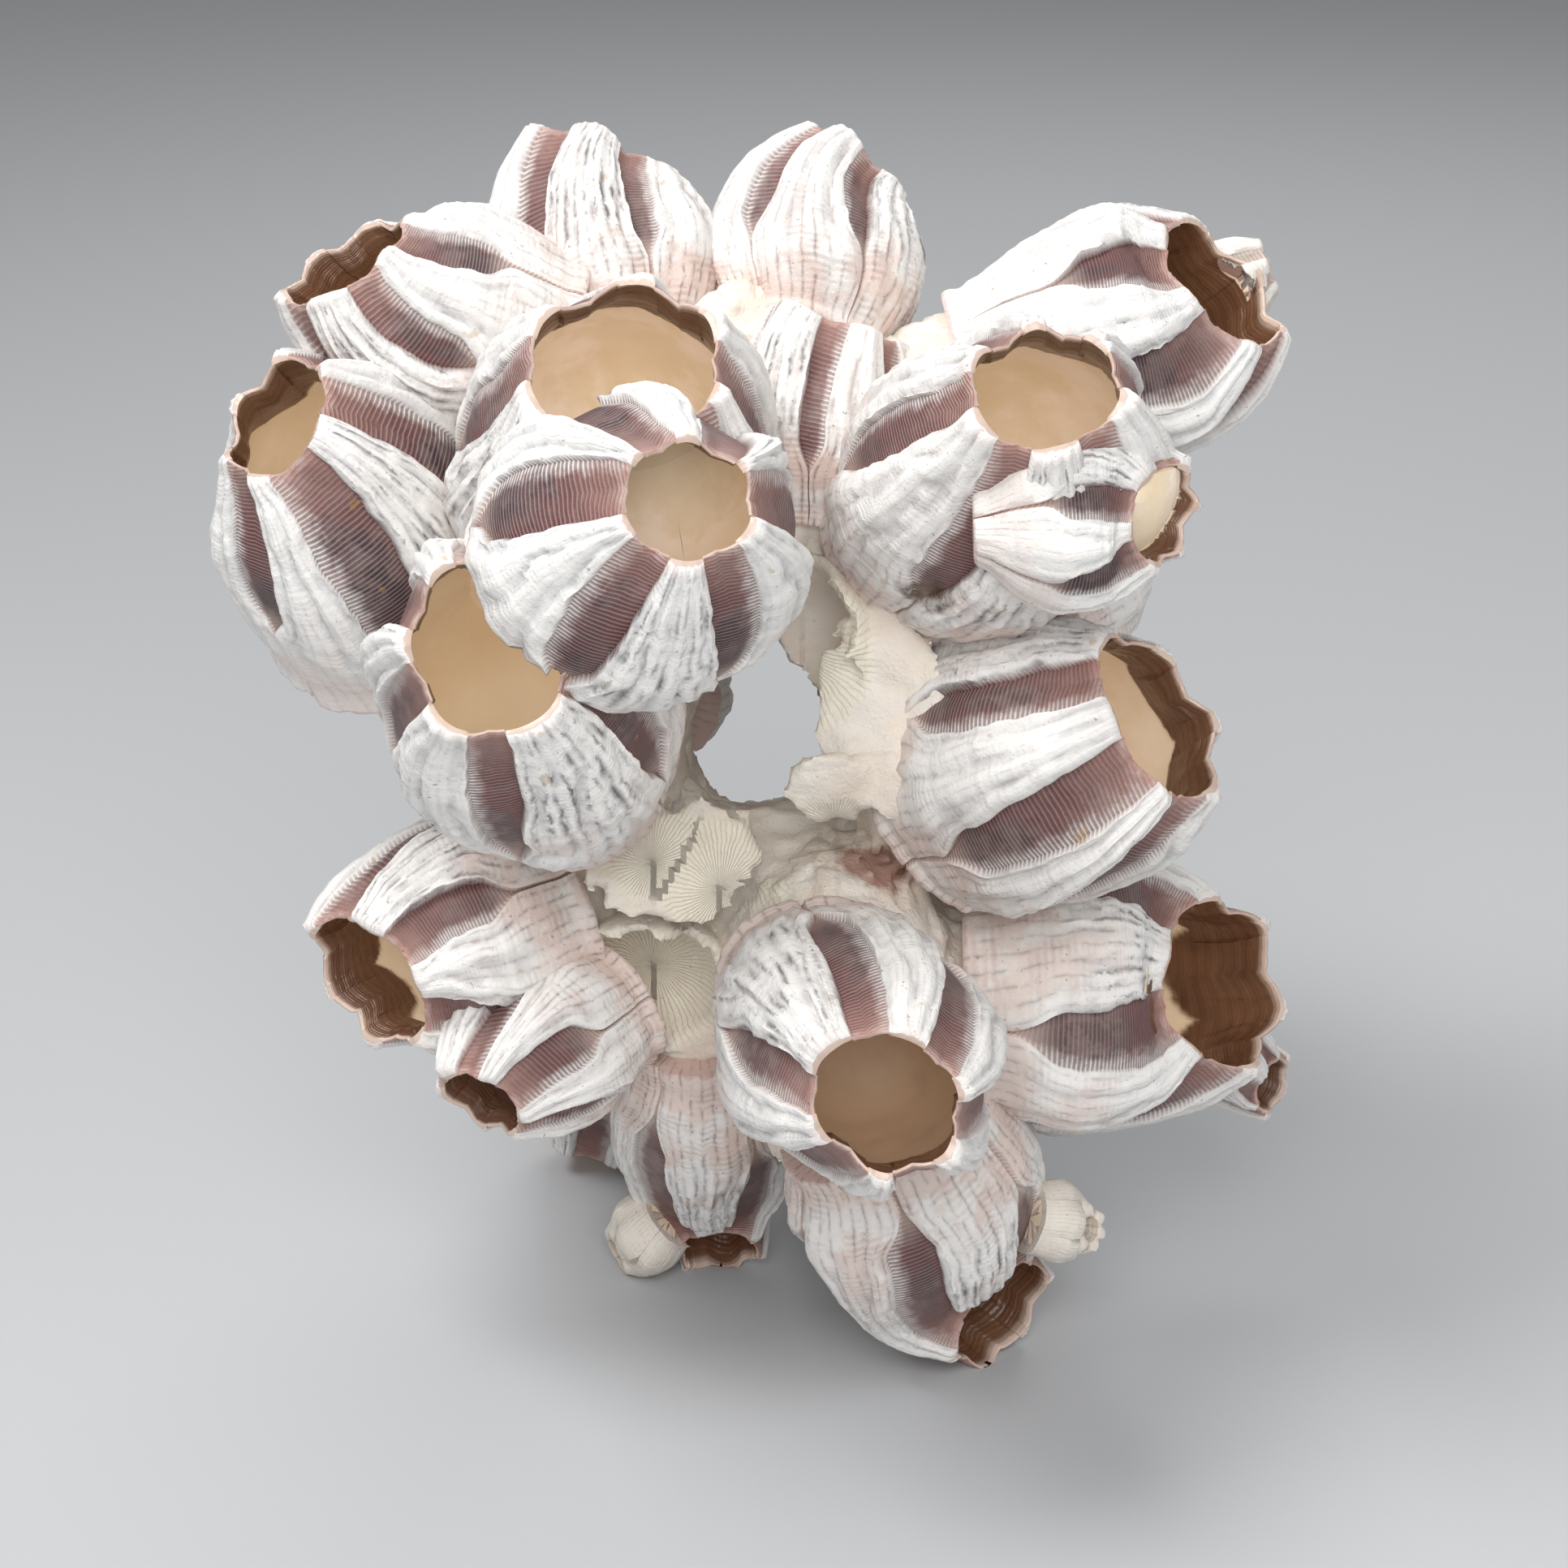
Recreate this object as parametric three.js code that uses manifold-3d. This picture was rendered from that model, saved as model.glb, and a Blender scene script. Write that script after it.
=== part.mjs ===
// Barnacle cluster: acorn barnacles grown together in every direction around a knot of cream crust
// with a hole through it. Millimetres, +Z up, +Y away from the side that the photograph shows.
// The cluster stands on the rims of its lowest barnacles.

import * as THREE from "three";
import { mergeVertices } from "three/addons/utils/BufferGeometryUtils.js";
import Module from "manifold-3d";

const wasm = await Module();
wasm.setup();

// Sizes that every barnacle shares
const PLATES = 6; // wall plates round one barnacle
const CORNERS = 2 * PLATES; // one corner on each plate's ridge and one in each furrow between them
const RIDGE = 0.04; // a ridge stands out by this share of the radius
const FURROW = 0.05; // a furrow is sunk by this share of the radius
const TOOTH = 1.1; // the plate tips stand above the mean rim
const NOTCH = 0.6; // the furrows end below the mean rim
const RIM_WALL = 1.3;
const BASE_WALL = 2.4;
const FLOOR = 2.2;
const BELLY_AT = 0.4; // the widest place, as a share of the height
const BEND = 0.36; // how much of the height leaves the base, or meets the mouth, straight
const RIM_FROM = 0.99; // the share of the height above which a corner belongs to the rim

// Sizes of the whole
const GAP = 0.3; // clear space between pieces that touch
const SLANT_GAP = 1.1 * GAP; // the same across a wall, which slants by up to a third of a right angle
const SAME_POINT = 1e-4; // corners this near are one
const TIP_BELLY = 5; // a barnacle with a belly under this is a pale young one
const REST_DEPTH = 8; // thickness cut away below the surface that the cluster stands on
const REST_WIDTH = 200;
const MIDDLE = new THREE.Vector3(3.79, 1.62, 0); // the middle of the cluster's foot, taken to the origin

// Colours and roughness from the photograph
const CHALK = 0xe6dfd8;
const PALE = 0xede6da;
const CRUST = 0xdccdb0;
const SHELL_ROUGHNESS = 0.75;
const CRUST_ROUGHNESS = 0.85;

const UP = new THREE.Vector3(0, 0, 1);

// The barnacles, the oldest first: a younger one is cut away where it meets an older one.
// base and mouth are the centres of its two ends, facing is the way the mouth looks,
// radii are those of the base, the belly and the mouth, and turn is the bearing in degrees
// of its widest plate round the line from base to mouth.
const barnacles = [
  // Side shown in the photograph, upper part
  { name: "upper_centre_big", base: [-15, 0, 86], mouth: [-11, -24, 108],
    facing: [0, -0.5, 0.8], radii: [11, 14.5, 9.5], turn: 212 },
  { name: "upper_right_big", base: [19, -4, 85.5], mouth: [25.5, -28, 107],
    facing: [0, -0.7, 0.7], radii: [10.5, 13, 6.9], turn: 285 },
  { name: "left_centre_big", base: [-18, -14, 68], mouth: [-22, -40, 87.5],
    facing: [0, -0.9, 0.4], radii: [10, 13, 7.8], turn: 300 },
  { name: "upper_centre_front", base: [-13.5, -24, 87.5], mouth: [-5, -44, 102],
    facing: [0.2, -0.9, 0.5], radii: [11, 13.2, 5.8], turn: 280 },
  { name: "left_big", base: [-35.5, 4, 76], mouth: [-43.5, -10, 99],
    facing: [-0.6, -0.5, 0.7], radii: [11.5, 13, 7], turn: 319 },
  { name: "top_left", base: [-12.5, 12, 99.5], mouth: [-15, 24, 115],
    facing: [0.3, 0.6, 0.7], radii: [7.5, 9.9, 7.2], turn: 272 },
  { name: "top_right", base: [4.5, 12, 99.5], mouth: [10, 24, 114],
    facing: [0.7, 0.5, 0.5], radii: [7, 9.8, 6.6], turn: 316 },
  { name: "upper_left", base: [-21, 8, 100.5], mouth: [-38, 2, 110.5],
    facing: [-0.5, -0.2, 0.9], radii: [8.5, 9.8, 6.6], turn: 254 },
  { name: "upper_right_long", base: [20.5, 7, 99], mouth: [44.5, 7, 107.5],
    facing: [0.6, -0.3, 0.7], radii: [6, 12, 7.9], bellyAt: 0.68, turn: 129 },
  { name: "upper_middle", base: [6, 2, 85.5], mouth: [8, 6, 103.5],
    facing: [0.3, 0.3, 0.9], radii: [7, 8.4, 6.4], turn: 230 },
  { name: "right_small", base: [19.5, -27, 94.5], mouth: [36.2, -27, 95.5],
    facing: [0.75, -0.65, 0.1], radii: [5, 7.8, 4.8], turn: 205 },
  { name: "upper_right_tip", base: [42.5, 16, 102], mouth: [50.5, 17, 106.5],
    facing: [0.9, -0.1, 0.4], radii: [3.5, 4.5, 2.8], turn: 20 },
  // Side shown in the photograph, lower part
  { name: "right_big", base: [19.5, -6, 61.5], mouth: [37, -22, 74.5],
    facing: [0.7, -0.4, 0.6], radii: [11, 13, 8.6], turn: 153 },
  { name: "lower_right_big", base: [22, -4, 37], mouth: [46.5, -6, 39.5],
    facing: [0.7, -0.6, 0.4], radii: [11, 14.3, 9.3], turn: 221 },
  { name: "lower_centre_front", base: [7, -20, 44], mouth: [12, -48, 48.5],
    facing: [0, -1, 0.2], radii: [9.5, 11.8, 6.9], turn: 146 },
  { name: "lower_left", base: [-20, -4, 47.5], mouth: [-37, -14, 44],
    facing: [-0.6, -0.8, -0.2], radii: [9.5, 11, 7.5], turn: 17 },
  { name: "foot_right", base: [11.5, -16, 31], mouth: [25, -13, 6],
    facing: [0.7, -0.7, -0.2], radii: [8.5, 11.8, 6.5], turn: 275 },
  { name: "foot_centre", base: [-5.5, -5, 35], mouth: [-4, 4, 3.2],
    facing: [0.1, -0.8, -0.5], radii: [6.5, 8.8, 5], turn: 77 },
  { name: "lower_left_small", base: [-15.5, -8, 39], mouth: [-26, -20, 34],
    facing: [-0.5, -0.8, -0.5], radii: [7.5, 8.7, 5], turn: 81 },
  { name: "lower_right_tip", base: [44, 3.5, 29], mouth: [54.5, 8, 21],
    facing: [0.8, -0.6, -0.1], radii: [3.5, 4.8, 3.8], turn: 100 },
  { name: "foot_right_tip", base: [27.5, -14, 17.5], mouth: [34, -12, 15],
    facing: [0.7, -0.6, 0.3], radii: [3, 3.6, 2], turn: 250 },
  { name: "foot_centre_tip", base: [-9, 5, 7], mouth: [-14.5, 6, 2],
    facing: [-0.9, -0.3, -0.3], radii: [3.5, 4, 2.4], turn: 160 },
  // Far side
  { name: "back_centre", base: [2, 26, 78], mouth: [4, 50, 82],
    facing: [0, 0.9, 0.3], radii: [11, 13, 8], turn: 40 },
  { name: "back_top", base: [4, 24, 93], mouth: [6, 41, 104],
    facing: [0.1, 0.7, 0.7], radii: [8, 9.5, 6.2], turn: 130 },
  { name: "back_upper_left", base: [-19, 20, 88], mouth: [-31, 39, 94],
    facing: [-0.5, 0.7, 0.4], radii: [9.5, 11, 7], turn: 200 },
  { name: "back_upper_right", base: [18, 20, 86], mouth: [30, 38, 91],
    facing: [0.5, 0.8, 0.2], radii: [9.5, 11, 7.4], turn: 310 },
  { name: "back_left", base: [-25, 18, 68], mouth: [-40, 34, 74],
    facing: [-0.7, 0.7, 0.1], radii: [10, 11.5, 7.6], turn: 75 },
  { name: "back_right", base: [24, 14, 70], mouth: [36, 34, 76],
    facing: [0.6, 0.7, 0.2], radii: [9, 10.5, 6.8], turn: 165 },
  { name: "back_middle_left", base: [-14, 22, 60], mouth: [-15, 48, 57],
    facing: [-0.2, 1, -0.1], radii: [8.5, 10, 7.2], turn: 255 },
  { name: "back_middle_right", base: [18, 22, 58], mouth: [21, 46, 55],
    facing: [0.3, 0.9, 0], radii: [8, 9.5, 6.4], turn: 345 },
  { name: "back_lower_left", base: [-18, 16, 44], mouth: [-29, 34, 38],
    facing: [-0.6, 0.7, -0.3], radii: [8.5, 10, 6.6], turn: 110 },
  { name: "back_lower_right", base: [20, 16, 42], mouth: [33, 34, 37],
    facing: [0.6, 0.7, -0.3], radii: [9, 10.5, 7], turn: 20 },
  { name: "foot_back_left", base: [-12, 18, 30], mouth: [-18.5, 31, 2],
    facing: [-0.3, 0, -0.9], radii: [7, 8.6, 5.4], turn: 190 },
  { name: "foot_back_right", base: [12, 18, 29], mouth: [17, 36, 2.6],
    facing: [0.3, 0.2, -0.9], radii: [7.5, 9, 5.8], turn: 280 },
];

// Lumps of the crust, each a centre and the half sizes of its ellipsoid
const lumps = [
  [[-1, 11, 87], [26, 16, 15]],
  [[-17, 8, 67], [12, 20, 19]],
  [[17, 10, 65], [11, 18, 19]],
  [[1, 8, 43], [22, 19, 17]],
  [[8, -10, 43], [11, 12, 12]],
  [[9, -9, 29], [9, 10, 9]],
  [[-4, 8, 28], [9, 9, 8]],
  [[10, 15, 30], [8, 8, 8]],
  [[-1, 9, 99], [6, 4, 8]],
  [[17, 7, 96], [9, 8, 9]],
];

// Shallow dishes where a shell has broken off, each a centre and half sizes
const dishes = [
  [[-10, -14, 42], [8, 8, 8]],
  [[-3, -15, 55], [7, 7, 6]],
  [[4.5, -9, 77], [7, 7, 7]],
];

// The hole through the crust, seen slanting down from front to back
const hole = { front: [0.8, -20, 71.5], back: [0.1, 55, 42], radius: 7.6, sides: 12 };

// A closed three.js geometry as a solid for joining and cutting.
function solidOf(geometry) {
  const bare = geometry.clone();
  bare.deleteAttribute("normal");
  bare.deleteAttribute("uv");
  const merged = mergeVertices(bare, SAME_POINT);
  return new wasm.Manifold(
    new wasm.Mesh({
      numProp: 3,
      vertProperties: new Float32Array(merged.attributes.position.array),
      triVerts: new Uint32Array(merged.index.array),
    }),
  );
}

// The solid's largest body as a three.js geometry. A cut can leave loose slivers, which are dropped.
function geometryOf(solid) {
  const largest = solid.decompose().reduce((a, b) => (a.volume() > b.volume() ? a : b));
  const mesh = largest.getMesh();
  const geometry = new THREE.BufferGeometry();
  geometry.setAttribute("position", new THREE.BufferAttribute(mesh.vertProperties, 3));
  geometry.setIndex(new THREE.BufferAttribute(mesh.triVerts, 1));
  geometry.computeVertexNormals();
  return geometry;
}

// The place of a barnacle, in whose own frame the base is at the origin and the mouth straight above it.
function placeOf(barnacle) {
  const base = new THREE.Vector3(...barnacle.base);
  const along = new THREE.Vector3(...barnacle.mouth).sub(base);
  const turned = new THREE.Quaternion().setFromUnitVectors(UP, along.clone().normalize());
  const facing = new THREE.Vector3(...barnacle.facing).normalize();
  return { base, turned, height: along.length(), facing: facing.applyQuaternion(turned.clone().invert()) };
}

// The middle line of a barnacle in its own frame, bending from the base to the way the mouth looks.
function middleLine({ height, facing }) {
  const reach = BEND * height;
  return new THREE.CubicBezierCurve3(
    new THREE.Vector3(),
    new THREE.Vector3(0, 0, reach),
    new THREE.Vector3(0, 0, height).addScaledVector(facing, -reach),
    new THREE.Vector3(0, 0, height),
  );
}

// Outer radius of a barnacle at a share t of its height, before the ridges.
function outerRadius({ radii: [base, belly, mouth], bellyAt = BELLY_AT }, t) {
  if (t < bellyAt) return base + (belly - base) * Math.sin((Math.PI / 2) * (t / bellyAt));
  return mouth + (belly - mouth) * Math.cos((Math.PI / 2) * ((t - bellyAt) / (1 - bellyAt)));
}

function wallAt(t) {
  return THREE.MathUtils.lerp(BASE_WALL, RIM_WALL, t);
}

// Turns a lathed shape, whose y is the share of the height, into the fluted and bent barnacle.
function shape(geometry, barnacle, place, first) {
  const line = middleLine(place);
  const position = geometry.attributes.position;
  const corner = new THREE.Vector3();
  const lean = new THREE.Quaternion();
  for (let i = 0; i < position.count; i++) {
    const t = position.getY(i);
    const radius = Math.hypot(position.getX(i), position.getZ(i));
    const angle = Math.atan2(position.getX(i), position.getZ(i));
    const onRidge = Math.cos(PLATES * angle) > 0;
    const outside = radius > outerRadius(barnacle, t) - wallAt(t) / 2;
    const flute = outside ? (onRidge ? RIDGE : -FURROW) : 0;
    const rim = t > RIM_FROM ? (onRidge ? TOOTH : -NOTCH) : 0;
    const share = THREE.MathUtils.clamp(t, 0, 1);
    lean.setFromUnitVectors(UP, line.getTangent(share));
    corner.set(Math.cos(angle + first), Math.sin(angle + first), 0).multiplyScalar(radius * (1 + flute));
    corner.z = rim + (t - share) * place.height;
    corner.applyQuaternion(lean).add(line.getPoint(share));
    position.setXYZ(i, corner.x, corner.y, corner.z);
  }
  return geometry;
}

const OUTER_STEPS = [0, 0.3, 0.65, 1];
const INNER_STEPS = [1, 0.55];

// The hollow shell: floor, fluted wall and toothed rim.
function shell(barnacle, place, first) {
  const floorTop = FLOOR / place.height;
  const outline = [new THREE.Vector2(0, 0)];
  for (const t of OUTER_STEPS) outline.push(new THREE.Vector2(outerRadius(barnacle, t), t));
  for (const t of [...INNER_STEPS, floorTop])
    outline.push(new THREE.Vector2(outerRadius(barnacle, t) - wallAt(t), t));
  outline.push(new THREE.Vector2(0, floorTop));
  return shape(new THREE.LatheGeometry(outline, CORNERS), barnacle, place, first);
}

// What younger pieces must keep clear of: the shell's outside, filled and grown by the gap.
function keepOut(barnacle, place, first) {
  const grown = GAP / place.height;
  const fat = { ...barnacle, radii: barnacle.radii.map((r) => r + SLANT_GAP) };
  const outline = [new THREE.Vector2(0, -grown)];
  outline.push(new THREE.Vector2(outerRadius(fat, 0), -grown));
  for (const t of OUTER_STEPS.slice(1, -1)) outline.push(new THREE.Vector2(outerRadius(fat, t), t));
  outline.push(new THREE.Vector2(outerRadius(fat, 1), 1 + grown), new THREE.Vector2(0, 1 + grown));
  return shape(new THREE.LatheGeometry(outline, CORNERS), fat, place, first);
}

function inWorld(geometry, { base, turned }) {
  return geometry.applyQuaternion(turned).translate(base.x, base.y, base.z);
}

function boxBelowRest() {
  const box = new THREE.BoxGeometry(REST_WIDTH, REST_WIDTH, REST_DEPTH);
  return solidOf(box.translate(0, 0, -REST_DEPTH / 2));
}

function ball([centre, halves]) {
  return solidOf(new THREE.IcosahedronGeometry(1, 1).scale(...halves).translate(...centre));
}

function holeSolid() {
  const front = new THREE.Vector3(...hole.front);
  const along = new THREE.Vector3(...hole.back).sub(front);
  const length = along.length();
  const bore = new THREE.CylinderGeometry(hole.radius, hole.radius, length, hole.sides);
  bore.translate(0, length / 2, 0);
  bore.applyQuaternion(
    new THREE.Quaternion().setFromUnitVectors(new THREE.Vector3(0, 1, 0), along.normalize()),
  );
  return solidOf(bore.translate(front.x, front.y, front.z));
}

// The crust: lumps joined in one, less the hole, the dishes and the room of every barnacle.
function crustSolid(taken) {
  let solid = lumps.map(ball).reduce((a, b) => a.add(b));
  for (const cutter of [holeSolid(), ...dishes.map(ball), ...taken]) solid = solid.subtract(cutter);
  return solid;
}

const cluster = new THREE.Group();
cluster.position.copy(MIDDLE).negate();

function addPiece(name, solid, place, colour, roughness) {
  const geometry = geometryOf(solid);
  geometry.translate(-place.base.x, -place.base.y, -place.base.z);
  geometry.applyQuaternion(place.turned.clone().invert());
  const material = new THREE.MeshStandardMaterial({ color: colour, roughness, metalness: 0 });
  const mesh = new THREE.Mesh(geometry, material);
  mesh.name = name;
  mesh.position.copy(place.base);
  mesh.quaternion.copy(place.turned);
  cluster.add(mesh);
}

const belowRest = boxBelowRest();
const taken = [];
for (const barnacle of barnacles) {
  const place = placeOf(barnacle);
  const first = THREE.MathUtils.degToRad(barnacle.turn);
  let solid = solidOf(inWorld(shell(barnacle, place, first), place)).subtract(belowRest);
  for (const older of taken) solid = solid.subtract(older);
  taken.push(solidOf(inWorld(keepOut(barnacle, place, first), place)));
  const young = barnacle.radii[1] < TIP_BELLY;
  addPiece(barnacle.name, solid, place, young ? PALE : CHALK, SHELL_ROUGHNESS);
}
const crustPlace = { base: new THREE.Vector3(), turned: new THREE.Quaternion() };
addPiece("crust", crustSolid(taken), crustPlace, CRUST, CRUST_ROUGHNESS);

export default cluster;
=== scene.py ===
# Barnacle cluster: the finished shells, the crust between them and the studio around them.
# The tables are in millimetres, everything in the Blender scene is in metres.

import math

import bmesh
import bpy
import numpy as np
from mathutils import Matrix, Vector


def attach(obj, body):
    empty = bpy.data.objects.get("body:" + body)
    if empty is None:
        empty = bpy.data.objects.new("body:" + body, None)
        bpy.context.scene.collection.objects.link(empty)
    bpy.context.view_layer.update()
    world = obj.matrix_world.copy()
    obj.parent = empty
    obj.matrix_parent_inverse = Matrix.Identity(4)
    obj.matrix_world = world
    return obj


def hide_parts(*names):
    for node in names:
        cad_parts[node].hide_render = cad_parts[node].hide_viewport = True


MM = 0.001
TURN = 2 * math.pi

# The middle of the cluster's foot in the tables' own coordinates, which the CAD takes to its origin
MIDDLE = Vector((3.79, 1.62, 0))

# Shape that every barnacle shares
PLATES = 6
BELLY_AT = 0.4  # the widest place, as a share of the height
BEND = 0.36  # how much of the height leaves the base, or meets the mouth, straight
FLOOR = 2.2  # thickness of the base plate
TOOTH = 0.8  # how far the plate tips stand above the rim
STRIPS = 0.9  # how wide the strips between the plates are
STRIP_START = 0.28  # the share of the height where they open
WARM = 0.4  # how red-brown the markings are, from 0 to 1; it also turns the painted shade in the fold grooves from blue-grey (0) to brown (1)
STAIN = 0.25  # how brown the chamber is, from 0 to 1

# The barnacles, the oldest first: a younger one is cut away where it meets an older one.
# Each has the centres of its base and mouth, the way the mouth looks, the radii of base, belly
# and mouth, the bearing in degrees of its widest plate, how finely it is made, and what differs
# from the shared shape.
FINE, MEDIUM, COARSE = 3, 2, 1
BARNACLES = [
    dict(name="upper_centre_big", base=(-15, 0, 86), mouth=(-11, -24, 108), facing=(0, -0.5, 0.8),
         radii=(11, 14.5, 9.5), turn=212, grade=FINE, strips=0.85, warm=0.35, stain=0),
    dict(name="upper_right_big", base=(19, -4, 85.5), mouth=(25.5, -28, 107), facing=(0, -0.7, 0.7),
         radii=(10.5, 13, 6.9), turn=285, grade=FINE, tooth=0.9, strips=0.75, warm=0.45, stain=0.1),
    dict(name="left_centre_big", base=(-18, -14, 68), mouth=(-22, -40, 87.5), facing=(0, -0.9, 0.4),
         radii=(10, 13, 7.8), turn=300, grade=FINE, tooth=0.7, strips=0.75, warm=0.3, stain=0.3),
    dict(name="upper_centre_front", base=(-13.5, -24, 87.5), mouth=(-5, -44, 102), facing=(0.2, -0.9, 0.5),
         radii=(11, 13.2, 5.8), turn=280, grade=FINE, warm=0.1, stain=0.5, on_shell=True),
    dict(name="left_big", base=(-35.5, 4, 76), mouth=(-43.5, -10, 99), facing=(-0.6, -0.5, 0.7),
         radii=(11.5, 13, 7), turn=319, grade=FINE, warm=0.1, stain=0.25),
    dict(name="top_left", base=(-12.5, 12, 99.5), mouth=(-15, 24, 115), facing=(0.3, 0.6, 0.7),
         radii=(7.5, 9.9, 7.2), turn=272, grade=FINE, strips=0.65, warm=0.65),
    dict(name="top_right", base=(4.5, 12, 99.5), mouth=(10, 24, 114), facing=(0.7, 0.5, 0.5),
         radii=(7, 9.8, 6.6), turn=316, grade=FINE, strips=0.65, warm=0.6),
    dict(name="upper_left", base=(-21, 8, 100.5), mouth=(-38, 2, 110.5), facing=(-0.5, -0.2, 0.9),
         radii=(8.5, 9.8, 6.6), turn=254, grade=FINE, strips=0.8, warm=0.3, stain=0.5),
    dict(name="upper_right_long", base=(20.5, 7, 99), mouth=(44.5, 7, 107.5), facing=(0.6, -0.3, 0.7),
         radii=(6, 12, 7.9), turn=129, grade=FINE, belly_at=0.68, tooth=1.2, warm=0.15, stain=0.5),
    dict(name="upper_middle", base=(6, 2, 85.5), mouth=(8, 6, 103.5), facing=(0.3, 0.3, 0.9),
         radii=(7, 8.4, 6.4), turn=230, grade=MEDIUM, strips=0.6, warm=0.7),
    dict(name="right_small", base=(19.5, -27, 94.5), mouth=(36.2, -27, 95.5), facing=(0.75, -0.65, 0.1),
         radii=(2.2, 7.8, 4.8), turn=205, grade=MEDIUM, warm=0.1, stain=0.25),
    dict(name="upper_right_tip", base=(42.5, 16, 102), mouth=(50.5, 17, 106.5), facing=(0.9, -0.1, 0.4),
         radii=(3.5, 4.5, 2.8), turn=20, grade=COARSE, pale=0.6),
    dict(name="right_big", base=(19.5, -6, 61.5), mouth=(37, -22, 74.5), facing=(0.7, -0.4, 0.6),
         radii=(11, 13, 8.6), turn=153, grade=FINE, warm=0.4, stain=0.15),
    dict(name="lower_right_big", base=(22, -4, 37), mouth=(46.5, -6, 39.5), facing=(0.7, -0.6, 0.4),
         radii=(11, 14.3, 9.3), turn=221, grade=FINE, tooth=1.3, strip_start=0.12, warm=0.35, stain=0.25),
    dict(name="lower_centre_front", base=(7, -20, 44), mouth=(12, -48, 48.5), facing=(0, -1, 0.2),
         radii=(9.5, 11.8, 6.9), turn=146, grade=FINE, strips=0.85, warm=0.45, stain=0.85),
    dict(name="lower_left", base=(-20, -4, 47.5), mouth=(-37, -14, 44), facing=(-0.6, -0.8, -0.2),
         radii=(9.5, 11, 7.5), turn=17, grade=FINE, tooth=1.0, warm=0.55, stain=0.2),
    dict(name="foot_right", base=(11.5, -16, 31), mouth=(25, -13, 6), facing=(0.7, -0.7, -0.2),
         radii=(8.5, 11.8, 6.5), turn=275, grade=FINE, strip_start=0.15, strips=1.1, warm=0.5, stain=1),
    dict(name="foot_centre", base=(-5.5, -5, 35), mouth=(-4, 4, 3.2), facing=(0.1, -0.8, -0.5),
         radii=(6.5, 8.8, 5), turn=77, grade=MEDIUM, strip_start=0.12, strips=1.0, warm=0.55, stain=1),
    dict(name="lower_left_small", base=(-15.5, -8, 39), mouth=(-26, -20, 34), facing=(-0.5, -0.8, -0.5),
         radii=(7.5, 8.7, 5), turn=81, grade=MEDIUM, warm=0.6, stain=1, on_shell=True),
    dict(name="lower_right_tip", base=(44, 3.5, 29), mouth=(54.5, 8, 21), facing=(0.8, -0.6, -0.1),
         radii=(3.5, 4.8, 3.8), turn=100, grade=COARSE, warm=1),
    dict(name="foot_right_tip", base=(27.5, -14, 17.5), mouth=(34, -12, 15), facing=(0.7, -0.6, 0.3),
         radii=(3, 3.6, 2), turn=250, grade=COARSE, pale=1),
    dict(name="foot_centre_tip", base=(-9, 5, 7), mouth=(-14.5, 6, 2), facing=(-0.9, -0.3, -0.3),
         radii=(3.5, 4, 2.4), turn=160, grade=COARSE, pale=1),
    dict(name="back_centre", base=(2, 26, 78), mouth=(4, 50, 82), facing=(0, 0.9, 0.3),
         radii=(11, 13, 8), turn=40, grade=MEDIUM),
    dict(name="back_top", base=(4, 24, 93), mouth=(6, 41, 104), facing=(0.1, 0.7, 0.7),
         radii=(8, 9.5, 6.2), turn=130, grade=MEDIUM),
    dict(name="back_upper_left", base=(-19, 20, 88), mouth=(-31, 39, 94), facing=(-0.5, 0.7, 0.4),
         radii=(9.5, 11, 7), turn=200, grade=MEDIUM),
    dict(name="back_upper_right", base=(18, 20, 86), mouth=(30, 38, 91), facing=(0.5, 0.8, 0.2),
         radii=(9.5, 11, 7.4), turn=310, grade=MEDIUM),
    dict(name="back_left", base=(-25, 18, 68), mouth=(-40, 34, 74), facing=(-0.7, 0.7, 0.1),
         radii=(10, 11.5, 7.6), turn=75, grade=MEDIUM),
    dict(name="back_right", base=(24, 14, 70), mouth=(36, 34, 76), facing=(0.6, 0.7, 0.2),
         radii=(9, 10.5, 6.8), turn=165, grade=MEDIUM),
    dict(name="back_middle_left", base=(-14, 22, 60), mouth=(-15, 48, 57), facing=(-0.2, 1, -0.1),
         radii=(8.5, 10, 7.2), turn=255, grade=MEDIUM),
    dict(name="back_middle_right", base=(18, 22, 58), mouth=(21, 46, 55), facing=(0.3, 0.9, 0),
         radii=(8, 9.5, 6.4), turn=345, grade=MEDIUM),
    dict(name="back_lower_left", base=(-18, 16, 44), mouth=(-29, 34, 38), facing=(-0.6, 0.7, -0.3),
         radii=(8.5, 10, 6.6), turn=110, grade=MEDIUM),
    dict(name="back_lower_right", base=(20, 16, 42), mouth=(33, 34, 37), facing=(0.6, 0.7, -0.3),
         radii=(9, 10.5, 7), turn=20, grade=MEDIUM),
    dict(name="foot_back_left", base=(-12, 18, 30), mouth=(-18.5, 31, 2), facing=(-0.3, 0, -0.9),
         radii=(7, 8.6, 5.4), turn=190, grade=MEDIUM),
    dict(name="foot_back_right", base=(12, 18, 29), mouth=(17, 36, 2.6), facing=(0.3, 0.2, -0.9),
         radii=(7.5, 9, 5.8), turn=280, grade=MEDIUM),
]

# Lumps of the crust, each a centre and the half sizes of its ellipsoid
LUMPS = [
    ((-1, 11, 87), (26, 16, 15)),
    ((-17, 8, 67), (12, 20, 19)),
    ((17, 10, 65), (11, 18, 19)),
    ((1, 8, 43), (22, 19, 17)),
    ((8, -10, 43), (11, 12, 12)),
    ((9, -9, 29), (9, 10, 9)),
    ((-4, 8, 28), (9, 9, 8)),
    ((10, 15, 30), (8, 8, 8)),
    ((-1, 9, 99), (6, 4, 8)),
    ((17, 8, 94), (8, 8, 8)),
]

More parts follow.
